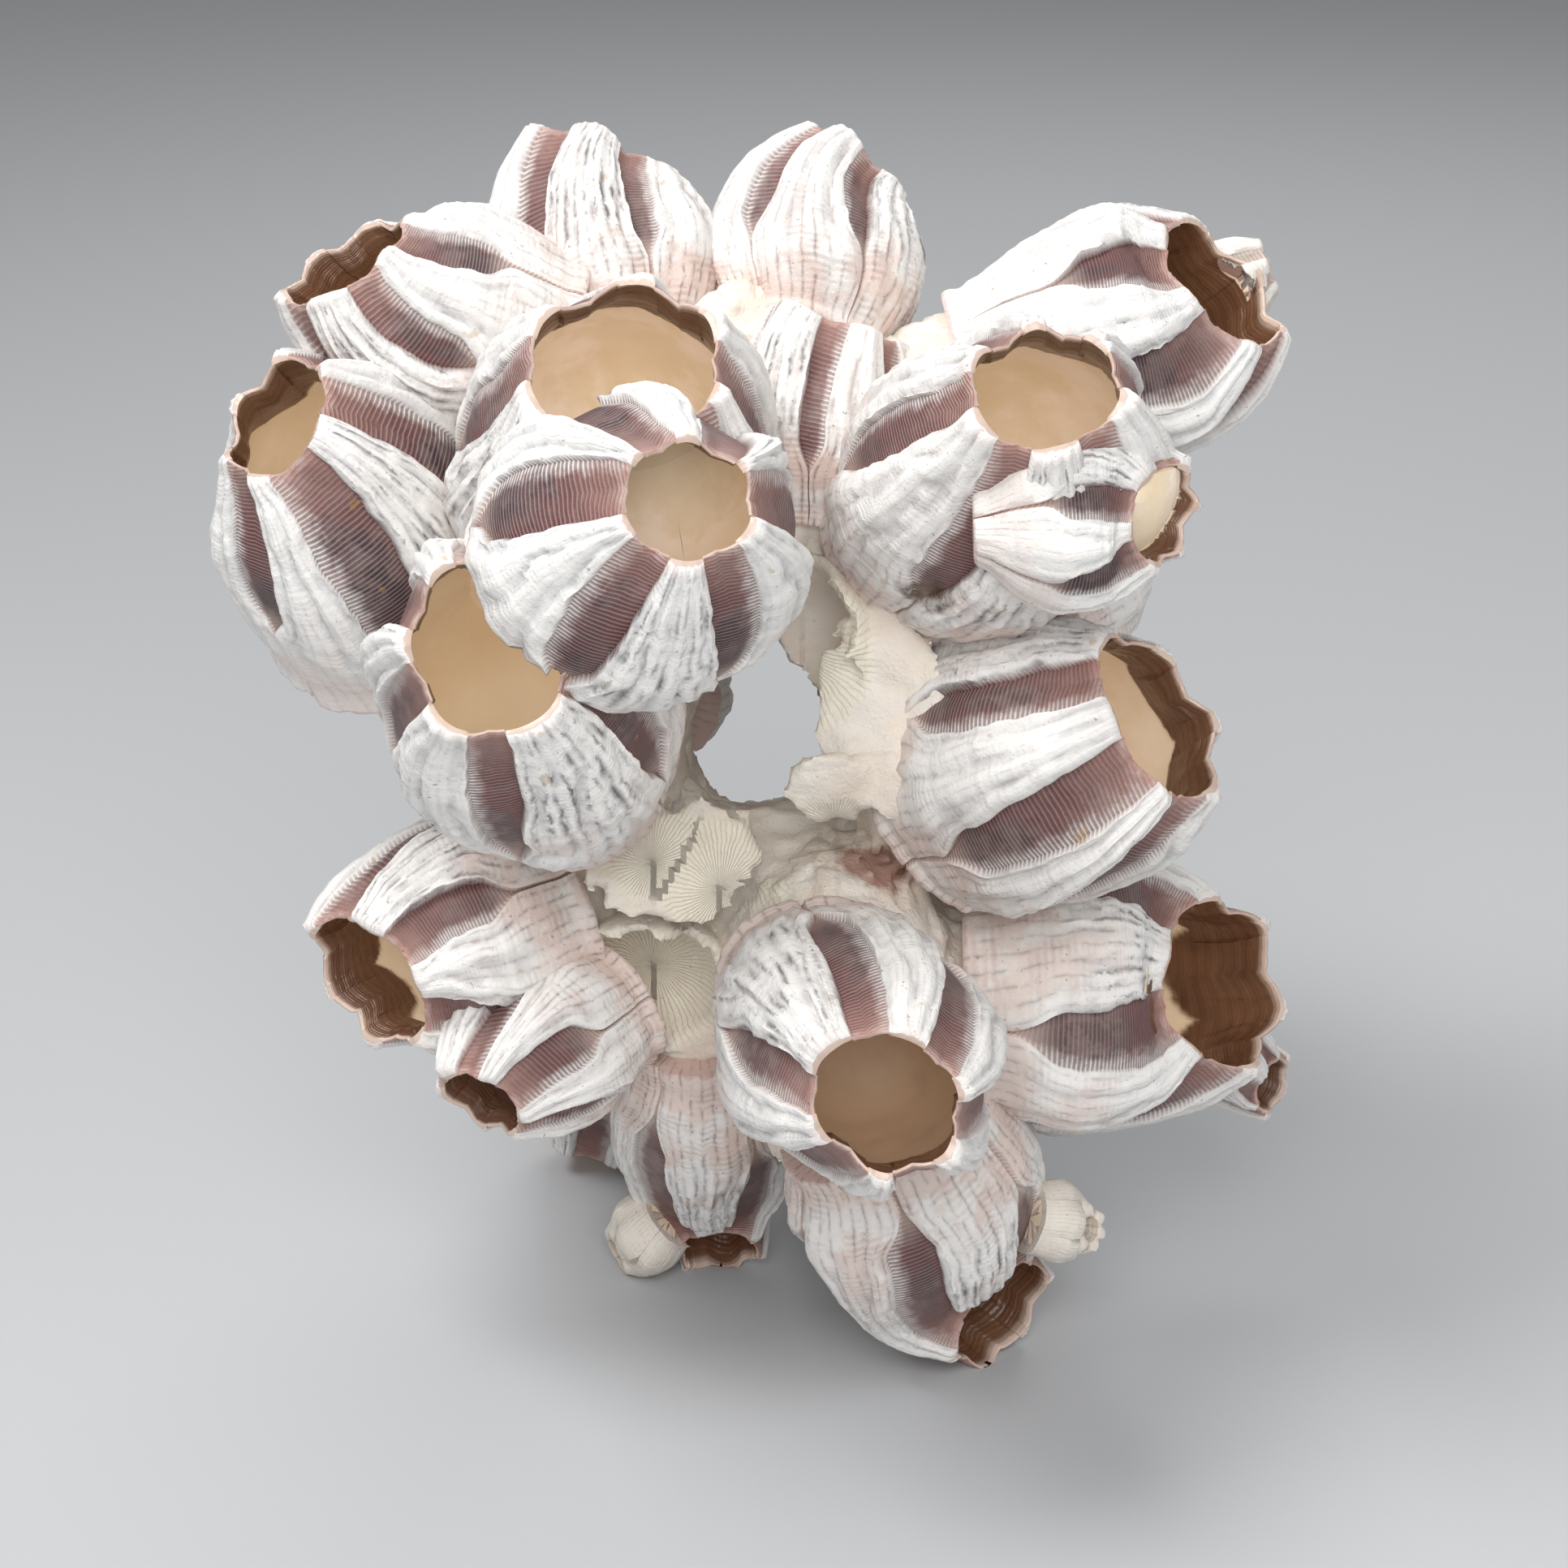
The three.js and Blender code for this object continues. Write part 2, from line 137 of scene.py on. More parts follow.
# Dishes in the crust where a shell has broken off, each a centre and half sizes
DISHES = [
    ((-10, -14, 42), (7.5, 7.5, 7.5)),
    ((-3, -15, 55), (6, 6, 5)),
    ((-9.5, -14, 57.5), (4.5, 4.5, 4.5)),
    ((4.5, -12, 77), (6.5, 6, 7)),
    ((8, -15, 61), (3.4, 3.4, 3.4)),
]

# Thin broken walls left standing round a dish: the centre and radius of a ball's skin,
# the way it is open, and how far the wall reaches that way
BROKEN_WALLS = [
    ((-10, -14, 42), 8, (-0.1, -0.95, -0.3), -1.5),
    ((4.5, -9, 77), 7.6, (-0.85, -0.5, -0.1), -2.0),
]
BROKEN_WALL = 1.4

# Broken plates beside the hole, each a centre, the half sizes of its outline and the way it faces
SHARDS = [
    ((12.2, -15, 72), (6, 20, 9.5), (-0.25, -0.95, 0.25)),
    ((7.4, -16.5, 65), (4, 20, 3.8), (0.1, -0.95, -0.2)),
    ((-7.5, -15.5, 57.5), (8, 20, 5), (0.1, -0.85, 0.5)),
]
SHARD = 1.5  # thickness of a broken plate
SHARD_JAG = 6  # how ragged its outline is
BASE_LUMP = 0.85  # the crust rises round a barnacle's base as a ball with this share of its radius
SMALL_BASE = 5  # but not round a base with a smaller radius

# The hole through the crust
HOLE_FRONT, HOLE_BACK, HOLE_RADIUS = Vector((0.8, -20, 71.5)), Vector((0.1, 55, 42)), 7.6

# The camera of the photograph, worked out from the marked cube beside the cluster
IMAGE_SIZE = 1932
FOCAL_PIXELS = 4200
CAMERA_PLACE = Vector((3, -312, 187.5))
CAMERA_PITCH = math.radians(22.45)
SENSOR = 36


# Formulas in node trees


class Socket:
    """A node socket that can stand in a formula. Each operation adds one Math node to its tree."""

    def __init__(self, tree, socket):
        self.tree = tree
        self.socket = socket

    def math(self, operation, *others):
        node = self.tree.nodes.new("ShaderNodeMath")
        node.operation = operation
        for slot, value in zip(node.inputs, (self, *others)):
            feed(slot, value)
        return Socket(self.tree, node.outputs[0])

    def __add__(self, other):
        return self.math("ADD", other)

    def __sub__(self, other):
        return self.math("SUBTRACT", other)

    def __mul__(self, other):
        return self.math("MULTIPLY", other)

    def __truediv__(self, other):
        return self.math("DIVIDE", other)

    def __pow__(self, other):
        return self.math("POWER", other)

    def __neg__(self):
        return self.math("MULTIPLY", -1)

    def __radd__(self, other):
        return self.math("ADD", other)

    def __rmul__(self, other):
        return self.math("MULTIPLY", other)

    def __rsub__(self, other):
        return (-self).math("ADD", other)

    def __rtruediv__(self, other):
        return (self ** -1) * other


def feed(slot, value):
    """Links a socket to an input, or sets the input's own value."""
    if isinstance(value, Socket):
        value.tree.links.new(value.socket, slot)
    else:
        slot.default_value = value


def sine(x):
    return x.math("SINE")


def cosine(x):
    return x.math("COSINE")


def size_of(x):
    return x.math("ABSOLUTE")


def at_least(x, low):
    return x.math("MAXIMUM", low)


def at_most(x, high):
    return x.math("MINIMUM", high)


def wave(x):
    """Rounded folds of width pi with a sharp groove between them, from 0 in a groove to 1."""
    return size_of(sine(x))


def step_up(x, low, high):
    """0 below low, 1 above high, smooth between."""
    node = x.tree.nodes.new("ShaderNodeMapRange")
    node.interpolation_type = "SMOOTHSTEP"
    feed(node.inputs["Value"], x)
    feed(node.inputs["From Min"], low)
    feed(node.inputs["From Max"], high)
    return Socket(x.tree, node.outputs["Result"])


def blend(a, b, share):
    """a where share is 0, b where it is 1."""
    return a + share * (b - a)


def vector_of(tree, x, y, z):
    node = tree.nodes.new("ShaderNodeCombineXYZ")
    for slot, value in zip(node.inputs, (x, y, z)):
        feed(slot, value)
    return Socket(tree, node.outputs[0])


def vector_math(operation, a, b, slot=1):
    node = a.tree.nodes.new("ShaderNodeVectorMath")
    node.operation = operation
    feed(node.inputs[0], a)
    feed(node.inputs[slot], b)
    return Socket(a.tree, node.outputs[0])


def vector_number(operation, a, b=None):
    """The number that a vector operation gives, such as a length."""
    node = a.tree.nodes.new("ShaderNodeVectorMath")
    node.operation = operation
    feed(node.inputs[0], a)
    if b is not None:
        feed(node.inputs[1], b)
    return Socket(a.tree, node.outputs["Value"])


def noise(where, scale, detail=2.0, roughness=0.5):
    """Noise from about 0 to 1, with features of about 1 / scale."""
    node = where.tree.nodes.new("ShaderNodeTexNoise")
    feed(node.inputs["Vector"], where)
    feed(node.inputs["Scale"], scale)
    feed(node.inputs["Detail"], detail)
    feed(node.inputs["Roughness"], roughness)
    return Socket(where.tree, node.outputs["Fac"])


def ripple(where, scale, detail=2.0, roughness=0.5):
    """Noise from about -0.5 to 0.5."""
    return noise(where, scale, detail, roughness) - 0.5


def noise_vector(where, scale, detail=2.0):
    """Noise with each part from about -0.5 to 0.5."""
    node = where.tree.nodes.new("ShaderNodeTexNoise")
    feed(node.inputs["Vector"], where)
    feed(node.inputs["Scale"], scale)
    feed(node.inputs["Detail"], detail)
    return vector_math("SUBTRACT", Socket(where.tree, node.outputs["Color"]), (0.5, 0.5, 0.5))


def chance(x):
    """A random number from 0 to 1 for each number x."""
    node = x.tree.nodes.new("ShaderNodeTexWhiteNoise")
    node.noise_dimensions = "1D"
    feed(node.inputs["W"], x)
    return Socket(x.tree, node.outputs["Value"])


# Geometry Nodes helpers


def geometry_tree(name, inputs):
    """A Geometry Nodes tree with a geometry in and out and the named inputs, given with their defaults."""
    tree = bpy.data.node_groups.new(name, "GeometryNodeTree")
    tree.interface.new_socket("Geometry", in_out="INPUT", socket_type="NodeSocketGeometry")
    for label, value in inputs.items():
        kind = "NodeSocketVector" if isinstance(value, tuple) else "NodeSocketFloat"
        tree.interface.new_socket(label, in_out="INPUT", socket_type=kind).default_value = value
    tree.interface.new_socket("Geometry", in_out="OUTPUT", socket_type="NodeSocketGeometry")
    entry = tree.nodes.new("NodeGroupInput")
    given = {socket.name: Socket(tree, socket) for socket in entry.outputs if socket.name}
    return tree, given


def stored(tree, name):
    """The number that each vertex holds under this name."""
    node = tree.nodes.new("GeometryNodeInputNamedAttribute")
    node.data_type = "FLOAT"
    node.inputs["Name"].default_value = name
    return Socket(tree, node.outputs["Attribute"])


def store(shape, name, value):
    """Holds a number on each vertex for the material to read."""
    node = shape.tree.nodes.new("GeometryNodeStoreNamedAttribute")
    node.data_type = "FLOAT"
    node.domain = "POINT"
    feed(node.inputs["Geometry"], shape)
    node.inputs["Name"].default_value = name
    feed(node.inputs["Value"], value)
    return Socket(shape.tree, node.outputs["Geometry"])


def set_position(shape, position):
    node = shape.tree.nodes.new("GeometryNodeSetPosition")
    feed(node.inputs["Geometry"], shape)
    feed(node.inputs["Position"], position)
    return Socket(shape.tree, node.outputs["Geometry"])


def close_tree(tree, shape, material):
    """Ends the tree in Realize Instances and Set Material."""
    realize = tree.nodes.new("GeometryNodeRealizeInstances")
    paint = tree.nodes.new("GeometryNodeSetMaterial")
    leave = tree.nodes.new("NodeGroupOutput")
    feed(realize.inputs["Geometry"], shape)
    tree.links.new(realize.outputs["Geometry"], paint.inputs["Geometry"])
    paint.inputs["Material"].default_value = material
    tree.links.new(paint.outputs["Geometry"], leave.inputs[0])


def settle(piece):
    """Replaces a piece by the plain mesh that its modifiers make of it."""
    bpy.context.view_layer.update()
    evaluated = piece.evaluated_get(bpy.context.evaluated_depsgraph_get())
    mesh = bpy.data.meshes.new_from_object(evaluated)
    mesh.name = piece.name
    piece.modifiers.clear()
    piece.data = mesh


def grown(blank, tree, values, name):
    """A piece with the plain mesh that the tree makes of the blank with these values for its inputs."""
    piece = bpy.data.objects.new(name, blank)
    bpy.context.scene.collection.objects.link(piece)
    modifier = piece.modifiers.new("Growth", "NODES")
    modifier.node_group = tree
    for item in tree.interface.items_tree:
        if item.in_out == "INPUT" and item.name in values:
            modifier[item.identifier] = values[item.name]
    settle(piece)
    return piece


# The barnacle's rule

SHELL_SIZES = {
    "Height": 30.0,
    "Base Radius": 10.0,
    "Belly Radius": 13.0,
    "Mouth Radius": 8.0,
    "Belly At": 0.4,
    "Facing": (0.0, 0.0, 1.0),
    "First Plate": 0.0,
    "Twist": 0.1,
    "Column": 0.0625,
    "Relief": 1.0,
    "Inset": 0.0,
    "Tooth": 0.8,
    "Strips": 0.9,
    "Strip Start": 0.28,
    "Warm": 0.4,
    "Pale": 0.0,
    "Stain": 0.4,
    "Seed": 1.0,
}

EDGE_COLUMN = 0.5  # half of the columns lie on the plates, the other half between them
EDGE_FOOT = 0.02  # a plate's edge falls off over this share of half a plate and strip
FAN_WIDER = 0.018  # widens the plates near the widest one, as a share of a turn
START_LUCK = 0.22  # how much higher than the lowest a strip can open, as a share of the height
STRIP_LUCK = 0.24  # how much the strips' widths differ by chance
GROOVE = 0.07  # a strip's width below the place where it opens, as a share of its full width
STRIP_OPENS, STRIP_WIDENS = 0.48, 0.45  # what it gains there, and from there to the rim
EDGE_WAVER = 0.16  # how far a plate's edge strays
LEAN = 0.42  # how far a plate's crest lies off its middle line
OVAL = 0.045  # how far the outline is from round
CORNERED = 0.075  # how far it is drawn in between the plates at the mouth
CREST = 1.05  # how far a usual plate stands out, in millimetres
PLATE_FOLDS, FAN_FOLDS = 4.4, 8.0  # how far the wave of folds runs over half a plate, at pi a fold
FOLD_RISE, FINE_RISE, KNOB_RISE = 0.7, 0.1, 0.36  # heights of the folds, the fine folds and the knobs
STRIP_DEPTH, STRIP_SLOPE, STRIP_DIP = 0.35, 0.6, 0.12  # depths: all over, at the deep edge, in the middle
RING_RISE = 0.45  # the rings round the outside
CALMER = 0.45  # how much of the relief is gone at the rim
WALL_BELOW, WALL_ABOVE = 1.9, 1.35  # thickness of the wall at the base and at the mouth
LIP_OF_STRIP, LIP_OF_PLATE = 0.5, 0.8  # thickness of the wall at the rim
SHEATH_EDGE, SHEATH_SCALLOP = 0.77, 0.07  # its lower edge and the scallops there, as shares of the height
SHEATH_THICK = 0.35  # what it adds to the wall
DRIFT = 2.0  # how far a whole barnacle is bent out of its plain shape


class ShellPlan:
    """Where each vertex of the blank lies on the barnacle: on a plate or on the strip between two."""

    def __init__(self, tree, given):
        self.around = stored(tree, "around")
        self.height = stored(tree, "height")
        self.depth = stored(tree, "depth")
        self.spread = stored(tree, "spread")
        self.seed = given["Seed"]
        height, seed = self.height, self.seed

        column = self.around * PLATES
        number = column.math("ROUND")
        aside = (column - number) * 2
        step = size_of(aside)
        right_half = column.math("LESS_THAN", PLATES / 2)
        self.plate_number = number.math("FLOORED_MODULO", PLATES)
        strip_number = column.math("FLOOR").math("FLOORED_MODULO", PLATES)
        self.from_fan = 3 - size_of(self.plate_number - 3)

        # A strip starts as a narrow groove, opens bluntly and widens to the rim
        start = given["Strip Start"] + START_LUCK * chance(strip_number + seed * 11)
        climb = at_least((height - start) / (1 - start), 0)
        self.swell = step_up(height, start - 0.05, start + 0.12)
        luck = (chance(self.plate_number + seed * 17) - 0.5) * STRIP_LUCK
        share = (0.55 + 0.25 * sine(self.from_fan * (math.pi / 4)) + luck) * given["Strips"]
        strip_share = share * (GROOVE + self.swell * (STRIP_OPENS + STRIP_WIDENS * climb))
        turn = self.around * TURN
        ball = vector_of(tree, cosine(turn) * 10, sine(turn) * 10, height * given["Height"] + seed * 31)
        half_width = at_least(1 - strip_share + ripple(ball, 0.45) * EDGE_WAVER * self.swell, 0.05)

        # Half of the columns follow the plate, the others the strip
        self.in_plate = step / EDGE_COLUMN
        fall = given["Column"]
        half_strip = at_most(at_least((step - EDGE_COLUMN - fall) / (1 - EDGE_COLUMN - fall), 0), 1)
        off_strip = blend(half_width + EDGE_FOOT, 1, half_strip)
        self.plate = step.math("LESS_THAN", EDGE_COLUMN + 0.001)
        self.off = blend(off_strip, self.in_plate * half_width, self.plate)
        self.across = aside.math("SIGN") * self.in_plate
        self.aside = aside
        into = half_strip * 0.5
        from_left = blend(1 - into, into, aside.math("GREATER_THAN", 0))
        self.strip = blend(1 - from_left, from_left, right_half)
        place = (number + aside.math("SIGN") * self.off / 2) / PLATES
        self.leaning = sine(column * (TURN / PLATES)) * LEAN
        bearing = (place + FAN_WIDER * sine(place * TURN)) * TURN
        self.turn = bearing + ripple(ball, 0.1) * 0.16 * (1 - height)
        self.scallop = wave(column * math.pi)


def smooth_radius(plan, given, angle):
    """Radius of the barnacle before any relief."""
    height = plan.height
    belly_at = given["Belly At"]
    low = given["Base Radius"] + (given["Belly Radius"] - given["Base Radius"]) * sine(
        at_most(height / belly_at, 1) * (math.pi / 2))
    climb = at_least((height - belly_at) / (1 - belly_at), 0)
    narrowing = given["Belly Radius"] - given["Mouth Radius"]
    high = given["Mouth Radius"] + narrowing * cosine(climb * (math.pi / 2))
    radius = blend(low, high, height.math("GREATER_THAN", belly_at))
    near_mouth = step_up(height, 0.55, 1.0)
    oval = 1 + OVAL * cosine(angle * 2 + plan.seed * 3)
    cornered = 1.02 - CORNERED * (plan.off ** 2) * near_mouth
    return radius * oval * cornered


def plate_relief(plan, skin, long_skin):
    """How far a plate stands out: a leaning crest with lengthwise folds, finer on the widest plate."""
    height, seed = plan.height, plan.seed
    fan = plan.from_fan.math("LESS_THAN", 0.5)
    rise = CREST * (0.55 + 0.8 * chance(plan.plate_number + seed * 7))
    leaned = plan.across - plan.leaning * (1 - plan.across ** 2)
    crest = rise * (1 - size_of(leaned) ** 2.2) * (0.4 + 0.6 * step_up(height, 0.02, 0.4))
    sway = ripple(long_skin, 0.3, 1) * 5
    folds = wave(plan.across * blend(PLATE_FOLDS, FAN_FOLDS, fan) + sway + seed)
    growing = 0.45 + 0.55 * step_up(height, 0.0, 0.35)
    fold_rise = (folds ** 0.75 - 0.6) * FOLD_RISE * growing
    fine_rise = (wave(plan.across * 13 + sway * 2) - 0.5) * FINE_RISE
    knobs = ripple(skin, 0.35, 3) * KNOB_RISE
    return 0.2 + crest + fold_rise + fine_rise + knobs, folds


def strip_relief(plan, skin):
    """How far a strip lies sunk: deepest under one plate's edge, shallow at the other."""
    slope = (1 - plan.strip) ** 1.6
    sunk = STRIP_DEPTH + STRIP_SLOPE * slope + STRIP_DIP * sine(plan.strip * math.pi)
    return ripple(skin, 0.5) * 0.2 - sunk * (0.4 + 0.6 * plan.swell)


def rim_lift(plan, given, skin):
    """How far the rim stands above or below its mean height: rounded plate tips, strips sagging between."""
    size = given["Tooth"] * (0.6 + 0.8 * chance(plan.plate_number + plan.seed))
    swing = cosine(plan.off * math.pi) * 0.5
    spike = at_least(given["Tooth"] - 1.2, 0) * (1 - plan.in_plate) * plan.plate
    lean = plan.aside * (1 - plan.off) * (chance(plan.plate_number + plan.seed * 3) - 0.5)
    ragged = ripple(skin, 0.4, 3) * 0.9
    return size * swing + spike * 1.3 + (lean + ragged) * given["Relief"]


def bend_along(tree, given, height, beside):
    """Places a point beside the barnacle's middle line, which bends to the way its mouth looks."""
    reach = given["Height"] * BEND
    top = vector_of(tree, 0, 0, given["Height"])
    line = tree.nodes.new("GeometryNodeCurvePrimitiveBezierSegment")
    line.mode = "POSITION"
    feed(line.inputs["Start"], (0, 0, 0))
    feed(line.inputs["Start Handle"], vector_of(tree, 0, 0, reach))
    back_from_mouth = vector_math("SCALE", given["Facing"], reach, 3)
    feed(line.inputs["End Handle"], vector_math("SUBTRACT", top, back_from_mouth))
    feed(line.inputs["End"], top)
    sample = tree.nodes.new("GeometryNodeSampleCurve")
    sample.mode = "FACTOR"
    tree.links.new(line.outputs["Curve"], sample.inputs["Curves"])
    feed(sample.inputs["Factor"], height)
    lean_to = tree.nodes.new("FunctionNodeAlignRotationToVector")
    lean_to.axis = "Z"
    tree.links.new(sample.outputs["Tangent"], lean_to.inputs["Vector"])
    swing = tree.nodes.new("FunctionNodeRotateVector")
    feed(swing.inputs["Vector"], beside)
    tree.links.new(lean_to.outputs["Rotation"], swing.inputs["Rotation"])
    middle = Socket(tree, sample.outputs["Position"])
    return vector_math("ADD", middle, Socket(tree, swing.outputs["Vector"]))


def shell_tree(material):
    """The tree that turns a blank into a barnacle's shell, in millimetres, its base at the origin.

    The blank's vertices hold their place round the shell, their share of the height, their depth
    from the outer face (0) to the inner face (1), and their spread from the middle (0) to the wall (1).
    """
    tree, given = geometry_tree("Barnacle shell", SHELL_SIZES)
    plan = ShellPlan(tree, given)
    height, depth, seed = plan.height, plan.depth, plan.seed
    angle = plan.turn + given["First Plate"] + given["Twist"] * (height - 1)
    radius = smooth_radius(plan, given, angle)
    x, y = cosine(angle), sine(angle)
    along = height * given["Height"]
    own = seed * 37
    skin = vector_of(tree, x * radius + own, y * radius, along)
    long_skin = vector_of(tree, x * radius + own, y * radius, along * 0.3)

    # The outer face
    plate, folds = plate_relief(plan, skin, long_skin)
    strip = strip_relief(plan, skin)
    rings = ripple(vector_of(tree, own, 0.0, along), 0.8, 3) * RING_RISE * blend(0.4, 1, plan.plate)
    skirt = (1 - step_up(height, 0, 0.08)) * (0.4 + 0.9 * noise(skin, 0.25, 2))
    calmer = 1 - CALMER * step_up(height, 0.8, 1.0)
    relief = (blend(strip, plate, plan.plate) + rings + skirt) * calmer * given["Relief"]

    # The inner face: a thick sheath with a scalloped lower edge, and the smooth chamber below it
    low_edge = SHEATH_EDGE - SHEATH_SCALLOP * plan.scallop + ripple(skin, 0.25, 2) * 0.08
    sheath = step_up(height, low_edge, low_edge + 0.025)
    sheath_rings = wave(along * 3.3 + ripple(skin, 0.15) * 3) * 0.02
    inner_fold = (0.5 - plan.off) * 0.4
    wall = blend(WALL_BELOW, WALL_ABOVE, height) + sheath * (SHEATH_THICK + sheath_rings + inner_fold)
    follow = step_up(height, 0.72, 1.0)
    lip_wall = blend(LIP_OF_STRIP, LIP_OF_PLATE, plan.plate)
    wall_at_lip = blend(wall, lip_wall, step_up(height, 0.88, 1.0)) - at_most(relief, 0) * 0.9 * follow
    inner_radius = radius - wall_at_lip + (1 - sheath) * ripple(skin, 0.12) * 0.6
    outer_radius = radius + relief - given["Inset"]
    ring = blend(outer_radius, inner_radius, depth) * plan.spread

    lip = sine(depth * math.pi) * 0.25 * given["Relief"]
    lift = rim_lift(plan, given, skin) * step_up(height, 0.6, 1.0) + lip
    bent = bend_along(tree, given, height, vector_of(tree, x * ring, y * ring, lift))
    drift = vector_math("SCALE", noise_vector(skin, 0.07, 1), step_up(height, 0, 0.3) * DRIFT, 3)

    shape = set_position(given["Geometry"], vector_math("ADD", bent, drift))
    for label, value in dict(plate=plan.plate, across=plan.across, strip=plan.strip, along=along + lift,
                             folds=folds, sheath=sheath, fan=step_up(plan.from_fan, 1.2, 0.2),
                             swell=plan.swell, warm=given["Warm"], pale=given["Pale"],
                             stain=given["Stain"]).items():
        shape = store(shape, label, value)
    close_tree(tree, shape, material)
    return tree


# Each finer grade has more columns round the shell and more rings up it
GRADES = {
    FINE: dict(corners=192, outer=104, inner=56, floor=12),
    MEDIUM: dict(corners=144, outer=74, inner=34, floor=9),
    COARSE: dict(corners=72, outer=36, inner=16, floor=6),
}
LIP_STEPS = 5
CUTTER_CORNERS, CUTTER_RINGS = 48, 16


def shell_rows(grade, floor_share):
    """(height, depth, spread) of each ring of a shell, from under the base to the middle of the floor."""
    outer, inner, floor = grade["outer"], grade["inner"], grade["floor"]
    rows = [(0, 0, 0.35), (0, 0, 0.8)]
    rows += [(i / outer, 0, 1) for i in range(outer + 1)]
    rows += [(1, i / LIP_STEPS, 1) for i in range(1, LIP_STEPS + 1)]
    turn_at = floor_share + 0.16
    rows += [(1 - (1 - turn_at) * i / inner, 1, 1) for i in range(1, inner + 1)]
    for i in range(1, floor + 1):
        corner = i / (floor + 1) * math.pi / 2
        rows.append((floor_share + (turn_at - floor_share) * (1 - math.sin(corner)), 1, math.cos(corner)))
    return rows


def cutter_rows():
    """The same for the room that a barnacle fills, closed over its mouth."""
    return [(0, 0, 0.5)] + [(i / CUTTER_RINGS, 0, 1) for i in range(CUTTER_RINGS + 1)] + [(1, 0, 0.5)]


def blank_mesh(name, corners, rows, last_height, last_depth):
    """A closed mesh of rings whose vertices hold where on the barnacle they belong."""
    height, depth, spread = (np.repeat([row[i] for row in rows], corners) for i in range(3))
    height = np.append(height, [0, last_height])
    depth = np.append(depth, [0, last_depth])
    spread = np.append(spread, [0, 0])
    around = np.append(np.tile(np.arange(corners) / corners, len(rows)), [0, 0])
    index = np.arange(len(rows) * corners).reshape(len(rows), corners)
    ahead = np.roll(index, -1, axis=1)
    quads = np.stack([index[:-1], ahead[:-1], ahead[1:], index[1:]], axis=-1).reshape(-1, 4)
    under, top = len(rows) * corners, len(rows) * corners + 1
    caps = [(under, int(b), int(a)) for a, b in zip(index[0], ahead[0])]
    caps += [(top, int(a), int(b)) for a, b in zip(index[-1], ahead[-1])]
    mesh = bpy.data.meshes.new(name)
    places = np.stack([np.cos(around * TURN) * spread, np.sin(around * TURN) * spread, height], axis=-1)
    mesh.from_pydata(places.tolist(), [], quads.tolist() + caps)
    for label, values in dict(around=around, height=height, depth=depth, spread=spread).items():
        mesh.attributes.new(label, "FLOAT", "POINT").data.foreach_set("value", values.astype(np.float32))
    return mesh


# Building the barnacles

CUT_INSET = 1.1  # an older barnacle's wall keeps this much of its thickness free of younger ones
SHARP_EDGE = math.radians(55)
LINING = 2.6  # thickness of the wall that closes a chamber against an older barnacle
FULL_RELIEF_BELLY = 10  # barnacles with a smaller belly have relief in proportion


def stance(barnacle):
    """Takes a barnacle's own millimetres to the frame's metres. Also gives its height and facing."""
    base = Vector(barnacle["base"])
    way = Vector(barnacle["mouth"]) - base
    turned = Vector((0, 0, 1)).rotation_difference(way)
    facing = Vector(barnacle["facing"]).normalized()
    matrix = Matrix.Scale(MM, 4) @ Matrix.Translation(base - MIDDLE) @ turned.to_matrix().to_4x4()
    return matrix, way.length, turned.inverted() @ facing


def read(items, what, width=1, kind=np.float32):
    """The numbers that all vertices, edges, corners or faces of a mesh hold under one name."""
    flat = np.empty(len(items) * width, kind)
    items.foreach_get(what, flat)
    return flat


def positions(mesh):
    return read(mesh.vertices, "co", 3).reshape(-1, 3)


def stand_on_floor(mesh):
    """Wears flat what would reach below the surface that the cluster stands on."""
    places = positions(mesh)
    places[:, 2] = np.maximum(places[:, 2], 0)
    mesh.vertices.foreach_set("co", places.ravel())
    mesh.update()


def paint_inside(mesh, material):
    """Gives the faces of the inner side their own material."""
    mesh.materials.append(material)
    depth = read(mesh.attributes["depth"].data, "value")
    corner = read(mesh.loops, "vertex_index", kind=np.int32)
    start = read(mesh.polygons, "loop_start", kind=np.int32)
    inner = np.minimum.reduceat(depth[corner], start) > 0.5
    mesh.polygons.foreach_set("material_index", inner.astype(np.int32))


def boxes_meet(a, b):
    a_places, b_places = positions(a.data), positions(b.data)
    apart = (a_places.min(axis=0) > b_places.max(axis=0)) | (b_places.min(axis=0) > a_places.max(axis=0))
    return not apart.any()


def combine(piece, operation, other):
    change = piece.modifiers.new("Combine", "BOOLEAN")
    change.operation = operation
    change.solver = "MANIFOLD"
    change.object = other


def cut_by(piece, cutters):
    """Takes the room of the cutters out of a piece."""
    for cutter in cutters:
        if boxes_meet(piece, cutter):
            combine(piece, "DIFFERENCE", cutter)
    settle(piece)


def drop_slivers(mesh):
    """Keeps only the largest body of a mesh, for a cut can leave loose slivers."""
    near, far = read(mesh.edges, "vertices", 2, np.int32).reshape(-1, 2).T
    label = np.arange(len(mesh.vertices))
    while True:
        before = label.copy()
        lowest = np.minimum(label[near], label[far])
        np.minimum.at(label, near, lowest)
        np.minimum.at(label, far, lowest)
        label = label[label[label]]
        if (label == before).all():
            break
    keep = label == np.bincount(label).argmax()
    if keep.all():
        return
    work = bmesh.new()
    work.from_mesh(mesh)
    bmesh.ops.delete(work, geom=[vertex for vertex in work.verts if not keep[vertex.index]], context="VERTS")
    work.to_mesh(mesh)
    work.free()


def set_number(mesh, name, value):
    mesh.attributes[name].data.foreach_set("value", np.full(len(mesh.vertices), value, np.float32))


